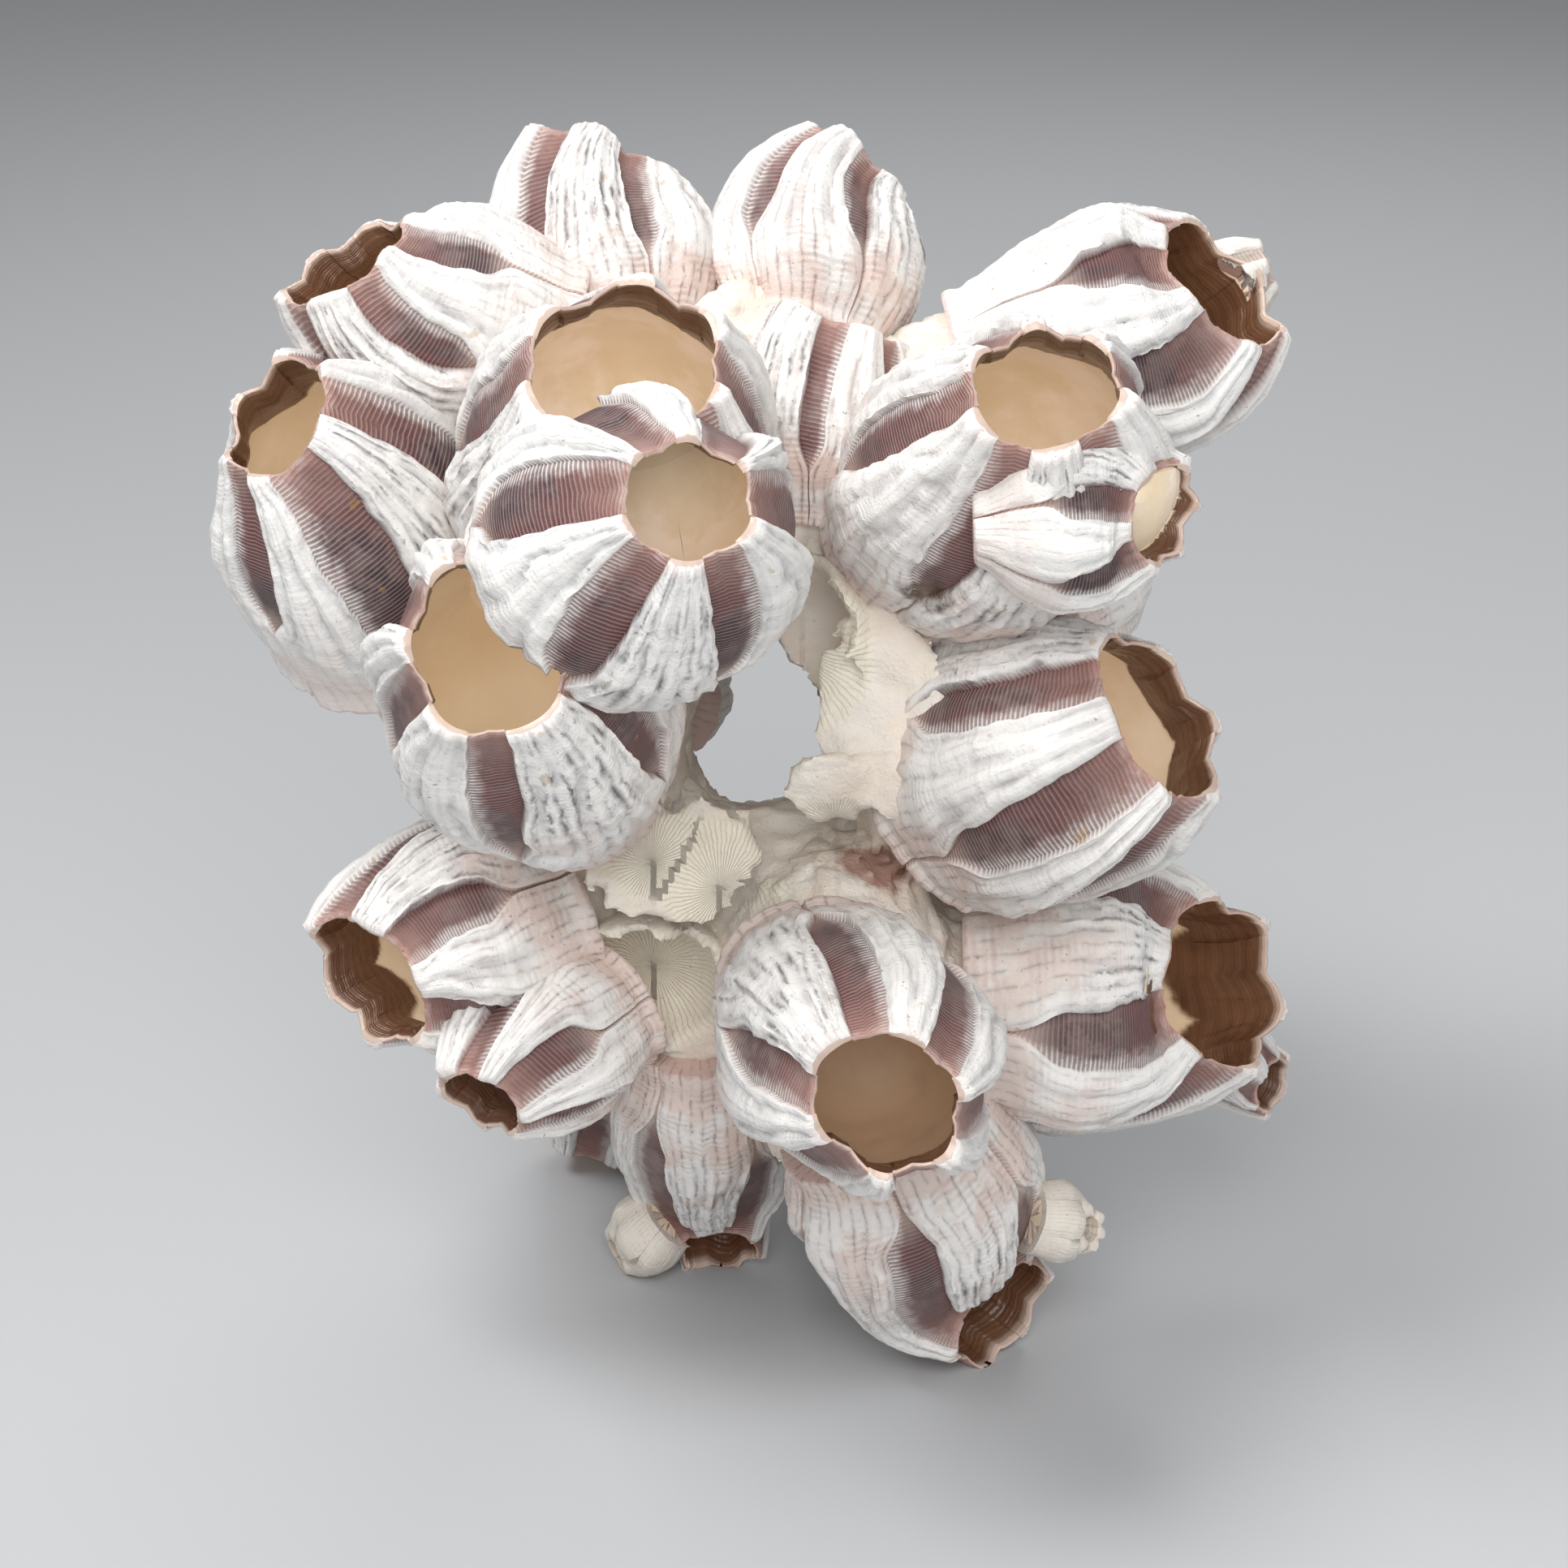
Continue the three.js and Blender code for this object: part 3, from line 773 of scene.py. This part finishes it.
def add_lining(piece, room, older):
    """Gives a younger barnacle a smooth wall of its own where its chamber leans on an older barnacle.

    older is the pair of the older barnacle's room and the same room grown by the lining's thickness.
    """
    older_room, older_wide = older
    if not boxes_meet(room, older_wide):
        return
    lining = bpy.data.objects.new(piece.name + "_lining", room.data.copy())
    bpy.context.scene.collection.objects.link(lining)
    for operation, other in (("INTERSECT", older_wide), ("DIFFERENCE", older_room)):
        combine(lining, operation, other)
    settle(lining)
    if len(lining.data.vertices):
        lining.data.materials.append(piece.data.materials[1])
        lining.data.polygons.foreach_set("material_index", np.ones(len(lining.data.polygons), np.int32))
        for name, value in dict(sheath=0, height=0.3).items():
            set_number(lining.data, name, value)
        combine(piece, "UNION", lining)
        settle(piece)
    bpy.data.objects.remove(lining)


def finish_piece(piece, node):
    piece.data.shade_smooth()
    piece.data.set_sharp_from_angle(angle=SHARP_EDGE)
    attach(piece, "root")
    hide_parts(node)


def shell_values(barnacle, number, corners, twist):
    """What the shell's tree is given for one barnacle."""
    _, length, facing = stance(barnacle)
    base, belly, mouth = barnacle["radii"]
    small = min(1, belly / FULL_RELIEF_BELLY)
    pale = barnacle.get("pale", 0)
    return {
        "Height": length,
        "Base Radius": float(base),
        "Belly Radius": float(belly),
        "Mouth Radius": float(mouth),
        "Belly At": barnacle.get("belly_at", BELLY_AT),
        "Facing": tuple(facing),
        "First Plate": math.radians(barnacle["turn"]),
        "Twist": twist,
        "Column": 2 * PLATES / corners,
        "Relief": small,
        "Inset": 0.0,
        "Tooth": barnacle.get("tooth", TOOTH) * small * (1 - 0.7 * pale),
        "Strips": barnacle.get("strips", STRIPS) * (1 - 0.6 * pale),
        "Strip Start": barnacle.get("strip_start", STRIP_START),
        "Warm": float(barnacle.get("warm", WARM)),
        "Pale": float(pale),
        "Stain": float(barnacle.get("stain", STAIN)),
        "Seed": float(number),
    }


def grown_room(tree, values, matrix, name, inset):
    """The closed room that a barnacle fills, drawn in by the inset."""
    values = {**values, "Relief": 0.0, "Tooth": 0.0, "Inset": inset, "Column": 2 * PLATES / CUTTER_CORNERS}
    room = grown(blank_mesh(name + "_blank", CUTTER_CORNERS, cutter_rows(), 1, 0), tree, values, name)
    room.data.transform(matrix)
    return room


def build_barnacles(tree, inner_material):
    """Builds each barnacle less the room of the older ones. Returns the rooms for cutting the crust."""
    rng = np.random.default_rng(7)
    rooms, wide_rooms = [], []
    for number, barnacle in enumerate(BARNACLES, 1):
        name = barnacle["name"]
        grade = GRADES[barnacle["grade"]]
        values = shell_values(barnacle, number, grade["corners"], rng.uniform(-0.25, 0.25))
        matrix, length, _ = stance(barnacle)
        small = values["Relief"]
        floor_share = FLOOR * small / length
        blank = blank_mesh(name + "_blank", grade["corners"], shell_rows(grade, floor_share), floor_share, 1)
        piece = grown(blank, tree, values, name + "_shell")
        piece.data.transform(matrix)
        paint_inside(piece.data, inner_material)
        room = grown_room(tree, values, matrix, name + "_room", CUT_INSET * small)
        cut_by(piece, rooms)
        for older in zip(rooms, wide_rooms):
            add_lining(piece, room, older)
        drop_slivers(piece.data)
        stand_on_floor(piece.data)
        finish_piece(piece, name)
        rooms.append(room)
        wide_rooms.append(grown_room(tree, values, matrix, name + "_wide_room", -LINING))
    for room in wide_rooms:
        bpy.data.objects.remove(room)
    return rooms


# The crust

CRUST_LOW, CRUST_HIGH = (-37, -27, 8), (33, 33, 112)
CRUST_VOXEL = 0.56
CRUST_SIZES = {"Join": 4.0, "Rough": 2.4, "Terrace": 0.5}
# How far the edge of each is rounded where it meets the rest
DISH_EDGE, BROKEN_WALL_EDGE, HOLE_EDGE, SHARD_EDGE = 0.8, 0.7, 0.6, 0.5


def ellipsoid_distance(place, centre, halves):
    """Distance in millimetres from a place to an ellipsoid's skin, negative inside."""
    local = vector_math("SUBTRACT", place, centre)
    near = at_least(vector_number("LENGTH", vector_math("DIVIDE", local, halves)), 0.01)
    squares = tuple(half * half for half in halves)
    steep = at_least(vector_number("LENGTH", vector_math("DIVIDE", local, squares)), 0.0001)
    return near * (near - 1) / steep


def broken_wall_distance(place, centre, radius, way, reach):
    """Distance to a thin broken wall, a ball's skin with a ragged end."""
    way = tuple(Vector(way).normalized())
    local = vector_math("SUBTRACT", place, centre)
    skin = size_of(vector_number("LENGTH", local) - radius) - BROKEN_WALL / 2
    end = vector_number("DOT_PRODUCT", local, way) - reach - ripple(place, 0.22, 3) * 7
    return skin.math("MAXIMUM", end)


def shard_distance(place, centre, halves, way):
    """Distance to a broken plate, a thin uneven slab with a ragged outline."""
    local = vector_math("SUBTRACT", place, centre)
    outline = ellipsoid_distance(place, centre, halves) - ripple(place, 0.3, 4) * SHARD_JAG
    level = vector_number("DOT_PRODUCT", local, tuple(Vector(way).normalized()))
    return outline.math("MAXIMUM", size_of(level + ripple(place, 0.15, 2) * 4) - SHARD / 2)


def hole_distance(place):
    way = tuple((HOLE_BACK - HOLE_FRONT).normalized())
    beside = vector_math("CROSS_PRODUCT", vector_math("SUBTRACT", place, tuple(HOLE_FRONT)), way)
    ragged = ripple(place, 0.13, 2) * 4 + ripple(place, 0.42, 3) * 3.6
    return vector_number("LENGTH", beside) - HOLE_RADIUS - ragged


def dish_distance(place):
    """Distance to the nearest dish, and the bearing round that dish for the rays that it shows."""
    dish, rays = None, None
    for centre, halves in DISHES:
        distance = ellipsoid_distance(place, centre, halves)
        local = vector_math("SUBTRACT", place, centre)
        right = vector_number("DOT_PRODUCT", local, (1, 0, 0))
        bearing = right.math("ARCTAN2", vector_number("DOT_PRODUCT", local, (0, 0, 1)))
        if dish is None:
            dish, rays = distance, bearing
        else:
            nearer = distance.math("LESS_THAN", dish)
            rays = blend(rays, bearing, nearer)
            dish = dish.math("MINIMUM", distance)
    return dish, rays


def crust_tree(material):
    """The tree that fills the crust's distance field with a mesh, in millimetres."""
    tree, given = geometry_tree("Crust", CRUST_SIZES)
    place = Socket(tree, tree.nodes.new("GeometryNodeInputPosition").outputs[0])
    lumps = [ellipsoid_distance(place, *lump) for lump in LUMPS]
    for barnacle in BARNACLES:
        base, radius = barnacle["base"], barnacle["radii"][0]
        if radius > SMALL_BASE and not barnacle.get("on_shell"):
            half = BASE_LUMP * radius
            lumps.append(ellipsoid_distance(place, base, (half, half, half)))
    mass = lumps[0]
    for lump in lumps[1:]:
        mass = mass.math("SMOOTH_MIN", lump, given["Join"])
    layers = noise(place, 0.16, 2) * 6
    terrace = step_up(layers.math("FRACT"), 0.3, 0.7) * given["Terrace"]
    mass = mass - ripple(place, 0.1, 3) * given["Rough"] - terrace
    dish, rays = dish_distance(place)
    mass = mass.math("SMOOTH_MAX", -dish, DISH_EDGE)
    for wall in BROKEN_WALLS:
        mass = mass.math("SMOOTH_MIN", broken_wall_distance(place, *wall), BROKEN_WALL_EDGE)
    mass = mass.math("SMOOTH_MAX", -hole_distance(place), HOLE_EDGE)
    for shard in SHARDS:
        mass = mass.math("SMOOTH_MIN", shard_distance(place, *shard), SHARD_EDGE)

    cube = tree.nodes.new("GeometryNodeVolumeCube")
    feed(cube.inputs["Density"], 0.5 - mass)
    feed(cube.inputs["Min"], CRUST_LOW)
    feed(cube.inputs["Max"], CRUST_HIGH)
    for axis, low, high in zip("XYZ", CRUST_LOW, CRUST_HIGH):
        cube.inputs["Resolution " + axis].default_value = round((high - low) / CRUST_VOXEL)
    surface = tree.nodes.new("GeometryNodeVolumeToMesh")
    surface.resolution_mode = "GRID"
    surface.inputs["Threshold"].default_value = 0.5
    tree.links.new(cube.outputs["Volume"], surface.inputs["Volume"])
    shape = store(Socket(tree, surface.outputs["Mesh"]), "dish", step_up(dish, 1.5, 0.2))
    shape = store(shape, "rays", rays)
    close_tree(tree, shape, material)
    return tree


def build_crust(material, cutters):
    piece = grown(bpy.data.meshes.new("crust_blank"), crust_tree(material), CRUST_SIZES, "crust_knot")
    piece.data.transform(Matrix.Scale(MM, 4) @ Matrix.Translation(-MIDDLE))
    cut_by(piece, cutters)
    finish_piece(piece, "crust")


# Materials


def shader_group(name, inputs, outputs):
    """A shader node group with named inputs, given with their defaults, and named number outputs."""
    tree = bpy.data.node_groups.new(name, "ShaderNodeTree")
    for label, value in inputs.items():
        kind = "NodeSocketVector" if isinstance(value, tuple) else "NodeSocketFloat"
        tree.interface.new_socket(label, in_out="INPUT", socket_type=kind).default_value = value
    for label in outputs:
        tree.interface.new_socket(label, in_out="OUTPUT", socket_type="NodeSocketFloat")
    entry = tree.nodes.new("NodeGroupInput")
    leave = tree.nodes.new("NodeGroupOutput")
    given = {socket.name: Socket(tree, socket) for socket in entry.outputs if socket.name}
    return tree, given, leave.inputs


def mix_colour(a, b, share):
    """Colour a where share is 0, colour b where it is 1."""
    node = share.tree.nodes.new("ShaderNodeMix")
    node.data_type = "RGBA"
    feed(node.inputs["Factor"], share)
    slots = [slot for slot in node.inputs if slot.type == "RGBA"]
    feed(slots[0], a)
    feed(slots[1], b)
    return Socket(share.tree, next(slot for slot in node.outputs if slot.type == "RGBA"))


def painted(colour, *coats):
    """A colour under coats of others, each given with the share that it covers."""
    for coat, share in coats:
        colour = mix_colour(colour, coat, share)
    return colour


def vertex_number(tree, name):
    node = tree.nodes.new("ShaderNodeAttribute")
    node.attribute_name = name
    return Socket(tree, node.outputs["Fac"])


# Colours
WHITE = (0.86, 0.84, 0.81, 1)
BLUSH = (0.74, 0.57, 0.50, 1)
WINE = (0.12, 0.042, 0.043, 1)
SLATE = (0.030, 0.018, 0.026, 1)
FADED = (0.44, 0.28, 0.24, 1)
LINE_PALE = (0.48, 0.35, 0.32, 1)
# Painted shade for the grooves between the plates' folds: blue-grey on the cooler barnacles, brown on the
# warmer ones
SHADE_BLUE_GREY = (0.32, 0.36, 0.40, 1)
FOLD_SHADE_BROWN = (0.36, 0.22, 0.19, 1)
RIM_PINK = (0.50, 0.28, 0.23, 1)
YOUNG_CREAM = (0.84, 0.77, 0.67, 1)
SHEATH_DARK = (0.075, 0.028, 0.014, 1)
SHEATH_LIGHT = (0.27, 0.14, 0.075, 1)
LIP_CREAM = (0.70, 0.55, 0.46, 1)
CHAMBER_PEACH = (0.90, 0.78, 0.67, 1)
CHAMBER_TAN = (0.70, 0.55, 0.33, 1)
CHAMBER_BROWN = (0.36, 0.21, 0.14, 1)
CHAMBER_WINE = (0.11, 0.04, 0.035, 1)
CRUST_CREAM = (0.88, 0.79, 0.66, 1)
CRUST_PALE = (0.92, 0.89, 0.83, 1)
CRUST_GREY = (0.50, 0.45, 0.35, 1)
# The dishes' own yellowish colour, made lighter as painted light against the shade in their hollows
DISH_YELLOW_AND_PAINTED_LIGHT = (0.93, 0.88, 0.72, 1)
RUST = (0.28, 0.09, 0.05, 1)
OCHRE = (0.45, 0.27, 0.07, 1)
GRIME = (0.10, 0.06, 0.035, 1)

# Single stains, each its middle in the object's own millimetres and its half sizes
RUST_STAIN = ((8.1, -13.1, 54.5), (5.5, 4.0, 3.0))
FOULING = ((12.0, -22.7, 86.0), (3.8, 4.0, 2.2))


def mottle_group():
    """Large and small patches, from 0 to 1."""
    tree, given, out = shader_group(
        "Mottle", {"Place": (0.0, 0.0, 0.0), "Size": 4.0, "Sharpness": 0.1}, ["Patches"])
    field = noise(given["Place"], 1 / at_least(given["Size"], 0.01), 5, 0.62)
    feed(out["Patches"], step_up(field, 0.5 - given["Sharpness"], 0.5 + given["Sharpness"]))
    return tree


def lines_group():
    """Fine lines across a coordinate, from 0 to 1, broken up by wear."""
    tree, given, out = shader_group(
        "Fine lines",
        {"Along": 0.0, "Place": (0.0, 0.0, 0.0), "Spacing": 0.5, "Waver": 0.4, "Wear": 0.3}, ["Lines"])
    waver = ripple(given["Place"], 0.5, 2) * given["Waver"]
    swing = sine((given["Along"] + waver) / given["Spacing"] * TURN) * 0.5 + 0.5
    worn = step_up(noise(given["Place"], 0.35, 4), given["Wear"], given["Wear"] + 0.25)
    feed(out["Lines"], swing * worn)
    return tree


def specks_group():
    """Small spots scattered over the surface, from 0 to 1."""
    tree, given, out = shader_group(
        "Specks", {"Place": (0.0, 0.0, 0.0), "Size": 0.5, "Share": 0.1}, ["Spots"])
    field = noise(given["Place"], 1 / at_least(given["Size"], 0.01), 2, 0.4)
    edge = 0.78 - given["Share"]
    feed(out["Spots"], step_up(field, edge, edge + 0.05))
    return tree


def stain_group():
    """One stain with a ragged edge, 1 inside."""
    tree, given, out = shader_group(
        "Stain",
        {"Place": (0.0, 0.0, 0.0), "Middle": (0.0, 0.0, 0.0), "Half Sizes": (5.0, 5.0, 5.0)}, ["Mask"])
    local = vector_math("SUBTRACT", given["Place"], given["Middle"])
    reach = vector_number("LENGTH", vector_math("DIVIDE", local, given["Half Sizes"]))
    feed(out["Mask"], step_up(reach + ripple(given["Place"], 0.5, 3) * 1.2, 1.0, 0.5))
    return tree


def new_material(name):
    material = bpy.data.materials.new(name)
    material.use_nodes = True
    tree = material.node_tree
    return material, tree, tree.nodes["Principled BSDF"]


def mask_groups():
    """The groups that the materials share, each built once."""
    return {"mottle": mottle_group(), "lines": lines_group(), "specks": specks_group(),
            "stain": stain_group()}


class Masks:
    """The shared groups placed in one material, at places in the object's own millimetres."""

    def __init__(self, tree, groups):
        self.tree = tree
        self.groups = groups
        node = tree.nodes.new("ShaderNodeTexCoord")
        self.place = vector_math("SCALE", Socket(tree, node.outputs["Object"]), 1 / MM, 3)

    def use(self, group, output, shift=None, **values):
        """Places a group, feeds its inputs and returns the named output."""
        node = self.tree.nodes.new("ShaderNodeGroup")
        node.node_tree = self.groups[group]
        place = vector_math("ADD", self.place, shift) if shift else self.place
        for label, value in {"Place": place, **values}.items():
            feed(node.inputs[label], value)
        return Socket(self.tree, node.outputs[output])

    def patches(self, size, sharpness, shift=None):
        return self.use("mottle", "Patches", shift, **{"Size": size, "Sharpness": sharpness})

    def lines(self, along, spacing, waver, wear):
        values = {"Along": along, "Spacing": spacing, "Waver": waver, "Wear": wear}
        return self.use("lines", "Lines", **values)

    def spots(self, size, share, shift=None):
        return self.use("specks", "Spots", shift, **{"Size": size, "Share": share})

    def stain(self, stain):
        middle, halves = stain
        return self.use("stain", "Mask", **{"Middle": middle, "Half Sizes": halves})


def finish_material(tree, shader, colour, roughness, heights, specular):
    """Feeds the shader with the colour, the roughness and the bump heights in millimetres."""
    feed(shader.inputs["Base Color"], colour)
    feed(shader.inputs["Roughness"], roughness)
    shader.inputs["Specular IOR Level"].default_value = specular
    bump = tree.nodes.new("ShaderNodeBump")
    bump.inputs["Distance"].default_value = MM
    feed(bump.inputs["Height"], heights)
    tree.links.new(bump.outputs["Normal"], shader.inputs["Normal"])


def wall_material(groups):
    """The outer wall: white folded plates over a blushing foot, with finely lined dark strips."""
    material, tree, shader = new_material("barnacle_wall")
    masks = Masks(tree, groups)
    place = masks.place
    plate, height, along, across, strip, folds, fan, swell, warm, pale = (
        vertex_number(tree, name) for name in
        ("plate", "height", "along", "across", "strip", "folds", "fan", "swell", "warm", "pale"))
    large = masks.patches(size=7.0, sharpness=0.14)
    small = masks.patches(size=1.3, sharpness=0.12)

    # Plates: white above, blushing below, with fine brown lines both ways on the warmer ones
    patchy = (large - 0.5) * 0.5 + (small - 0.5) * 0.12
    white = step_up(height + patchy - warm * 0.15, -0.05, 0.4)
    rings = masks.lines(along, spacing=0.6, waver=0.4, wear=0.42)
    sway = ripple(place, 0.4, 3)
    lengthwise = (1 - wave(across * 14 + sway * 1.6)) ** 2 * small
    foot = 1 - step_up(height + (large - 0.5) * 0.4, 0.15, 0.8)
    brown = (lengthwise * 0.9 + rings * 0.35) * (0.15 + foot * 0.6) * (0.15 + 1.25 * warm)

    # The grooves between the folds get painted shade, blue-grey or brown, and the widest plate is dashed
    # with slate
    grey = masks.patches(size=4.0, sharpness=0.12, shift=(31, 7, 3))
    groove_shade = mix_colour(SHADE_BLUE_GREY, FOLD_SHADE_BROWN, warm)
    grooves = step_up(folds, 0.85, 0.1) * step_up(height, 0.15, 0.5)
    stretched = vector_of(tree, across * 2.5, height * 4.5, large)
    streaks = step_up(noise(stretched, 1.3, 4, 0.6), 0.45, 0.6) * step_up(height, 0.2, 0.5)
    dashes = (1 - wave(across * 15 + sway * 3)) ** 0.7 * streaks
    plates = painted(
        mix_colour(WHITE, BLUSH, (1 - white) * (0.3 + 0.8 * warm)),
        (WINE, at_most(brown, 0.6)),
        (groove_shade, grooves * (0.1 + 0.36 * grey)),
        (SLATE, dashes * (0.06 + 0.8 * fan) * (0.45 + 0.55 * grey)))

    # Strips: dark, with pale lines parallel to the rim that grow into white teeth at one edge
    stripes = masks.lines(along + strip * 0.3, spacing=0.4, waver=0.12, wear=0.05) ** 2.2
    middle = sine(strip * math.pi)
    belly = sine(at_most(height * 1.25, 1) * math.pi)
    deep = step_up(middle * 0.5 + belly * 0.5 + (large - 0.5) * 0.7 - warm * 0.4, 0.25, 0.85)
    teeth = step_up(strip + (small - 0.5) * 0.1, 0.7, 0.98)
    powder = masks.patches(size=2.4, sharpness=0.07, shift=(5, 17, 11))
    strips = painted(
        mix_colour(WINE, SLATE, deep),
        (FADED, warm * (0.1 + 0.4 * large)),
        (LINE_PALE, stripes * 0.42),
        (WHITE, teeth * (0.25 + 0.7 * stripes)),
        (BLUSH, (1 - swell) * 0.6),
        (RIM_PINK, step_up(height, 0.75, 1.0) * 0.4),
        (LINE_PALE, powder * large * 0.22))

    rim = step_up(height, 0.97, 1.0)
    seam = step_up(height + (small - 0.5) * 0.01, 0.012, 0.004)
    colour = painted(
        mix_colour(strips, plates, plate),
        (mix_colour(RIM_PINK, WHITE, plate * 0.7 + small * 0.3), rim * 0.6),
        (RIM_PINK, seam * 0.4),
        (YOUNG_CREAM, pale * (0.6 + 0.3 * large)),
        (GRIME, masks.spots(size=0.45, share=0.07) * 0.5),
        (OCHRE, masks.spots(size=2.6, share=0.05, shift=(9, 2, 5)) * 0.4),
        (GRIME, masks.stain(FOULING) * (0.4 + 0.5 * small)))

    fine = noise(place, 3.5, 4, 0.6)
    heights = fine * 0.1 + stripes * (1 - plate) * 0.08 - lengthwise * plate * 0.04 + rings * plate * 0.03
    finish_material(tree, shader, colour, 0.62 - (1 - plate) * 0.14 + fine * 0.12, heights, 0.4)
    return material


USUAL_HEIGHT = 27.0  # turns the share of the height into millimetres for the sheath's ridges
GLOW = 0.16  # stands for the light that comes through the thin walls


def inside_material(groups):
    """The inner side: a glossy brown sheath with growth ridges, over a smooth bright chamber."""
    material, tree, shader = new_material("barnacle_inside")
    masks = Masks(tree, groups)
    height, sheath, stain, warm, pale = (
        vertex_number(tree, name) for name in ("height", "sheath", "stain", "warm", "pale"))
    level = height * USUAL_HEIGHT
    large = masks.patches(size=6.0, sharpness=0.2)
    patch = masks.patches(size=9.0, sharpness=0.08, shift=(4, 9, 1))
    ridges = masks.lines(level, spacing=0.95, waver=0.5, wear=0.05)
    thin = masks.lines(level, spacing=0.3, waver=0.3, wear=0.2)
    brown = painted(
        mix_colour(SHEATH_DARK, SHEATH_LIGHT, ridges * 0.12 + large * 0.35 + thin * 0.08),
        (LIP_CREAM, step_up(height, 0.97, 1.0) * 0.85),
        (YOUNG_CREAM, pale * 0.7))
    chamber = painted(
        mix_colour(CHAMBER_PEACH, CHAMBER_TAN, at_most(stain * 2, 1)),
        (CHAMBER_BROWN, at_least(stain * 2 - 1, 0)),
        (CHAMBER_WINE, step_up(warm * stain, 0.42, 0.5)),
        (CHAMBER_TAN, (patch * 0.45 + (1 - large) * 0.3) * (1 - stain)),
        (CHAMBER_BROWN, (1 - patch) * (1 - large) * stain * 0.4))
    fine = noise(masks.place, 2.0, 3)
    heights = ridges * sheath * 0.05 + thin * sheath * 0.03 + fine * 0.04
    roughness = 0.42 - sheath * 0.16 + fine * 0.1
    finish_material(tree, shader, mix_colour(chamber, brown, sheath), roughness, heights, 0.5)
    feed(shader.inputs["Emission Color"], mix_colour(chamber, SHEATH_DARK, sheath))
    shader.inputs["Emission Strength"].default_value = GLOW
    return material


def crust_material(groups):
    """Cream cement with faint rays round yellowish dishes, made lighter there as painted light in their
    shaded hollows, rusty stains and dark specks.
    """
    material, tree, shader = new_material("crust")
    masks = Masks(tree, groups)
    place = masks.place
    dish, bearing = vertex_number(tree, "dish"), vertex_number(tree, "rays")
    large = masks.patches(size=9.0, sharpness=0.16)
    small = masks.patches(size=1.6, sharpness=0.2)
    blush = masks.patches(size=11.0, sharpness=0.1, shift=(3, 21, 6))
    rusty = masks.patches(size=12.0, sharpness=0.05, shift=(14, 3, 8))
    rays = (1 - wave(bearing * 30 + ripple(place, 0.5, 3) * 5)) ** 2 * (0.1 + 0.9 * dish)
    colour = painted(
        mix_colour(CRUST_CREAM, CRUST_PALE, large * 0.6 + small * 0.3),
        (BLUSH, blush * 0.3),
        # partly the dishes' own colour, partly painted light that lifts their shaded hollows
        (DISH_YELLOW_AND_PAINTED_LIGHT, dish * (0.4 + 0.4 * small)),
        (CRUST_GREY, rays * 0.22),
        (RUST, rusty * small * 0.08),
        (RUST, masks.stain(RUST_STAIN) * 0.75),
        (GRIME, masks.stain(FOULING) * (0.4 + 0.5 * small)),
        (OCHRE, masks.spots(size=0.7, share=0.05) * 0.4))
    fine = noise(place, 2.4, 5, 0.65)
    heights = fine * 0.2 + small * 0.08 - rays * 0.08
    finish_material(tree, shader, colour, 0.5 + fine * 0.2, heights, 0.4)
    return material


# The studio

FLOOR_HALF = 3.0
FLOOR_PALE = (0.50, 0.51, 0.52, 1)
SKY = (0.95, 0.97, 1.0, 1)
SKY_STRENGTH = 0.28
LAMPS_AIM = Vector((0, 0, 0.06))
# Each lamp's place, its width and its power
LAMPS = {
    "front": ((0.0, -0.42, 0.34), 0.30, 1.6),
    "key": ((-0.25, -0.10, 0.55), 0.25, 2.2),
    "side": ((0.50, -0.15, 0.30), 0.35, 0.5),
    "back": ((0.10, 0.50, 0.50), 0.40, 1.2),
}


def build_camera():
    scene = bpy.context.scene
    data = bpy.data.cameras.new("camera")
    data.sensor_fit = "HORIZONTAL"
    data.sensor_width = SENSOR
    data.lens = FOCAL_PIXELS / IMAGE_SIZE * SENSOR
    data.clip_start = 0.01
    camera = bpy.data.objects.new("camera", data)
    camera.location = (CAMERA_PLACE - MIDDLE) * MM
    camera.rotation_euler = (math.pi / 2 - CAMERA_PITCH, 0, 0)
    scene.collection.objects.link(camera)
    scene.camera = camera


def build_studio():
    scene = bpy.context.scene
    scene.view_settings.view_transform = "Standard"
    mesh = bpy.data.meshes.new("floor")
    half = FLOOR_HALF
    corners = [(-half, -half, 0), (half, -half, 0), (half, half, 0), (-half, half, 0)]
    mesh.from_pydata(corners, [], [(0, 1, 2, 3)])
    floor = bpy.data.objects.new("floor", mesh)
    scene.collection.objects.link(floor)
    material, _, shader = new_material("studio_floor")
    shader.inputs["Base Color"].default_value = FLOOR_PALE
    shader.inputs["Roughness"].default_value = 0.6
    mesh.materials.append(material)

    world = bpy.data.worlds.new("studio")
    scene.world = world
    world.use_nodes = True
    sky = world.node_tree.nodes["Background"]
    sky.inputs["Color"].default_value = SKY
    sky.inputs["Strength"].default_value = SKY_STRENGTH
    for name, (place, width, power) in LAMPS.items():
        light = bpy.data.lights.new(name, "AREA")
        light.size = width
        light.energy = power
        lamp = bpy.data.objects.new(name, light)
        lamp.location = place
        lamp.rotation_euler = (LAMPS_AIM - Vector(place)).to_track_quat("-Z", "Y").to_euler()
        scene.collection.objects.link(lamp)


def build_object():
    groups = mask_groups()
    rooms = build_barnacles(shell_tree(wall_material(groups)), inside_material(groups))
    build_crust(crust_material(groups), rooms)
    for room in rooms:
        bpy.data.objects.remove(room)


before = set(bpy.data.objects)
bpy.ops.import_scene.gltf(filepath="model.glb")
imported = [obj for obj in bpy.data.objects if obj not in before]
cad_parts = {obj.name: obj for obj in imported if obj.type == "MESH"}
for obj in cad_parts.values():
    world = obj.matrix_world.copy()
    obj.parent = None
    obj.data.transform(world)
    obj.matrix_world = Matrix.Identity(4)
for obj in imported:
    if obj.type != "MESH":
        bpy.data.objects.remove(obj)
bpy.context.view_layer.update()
build_camera()
build_studio()
build_object()
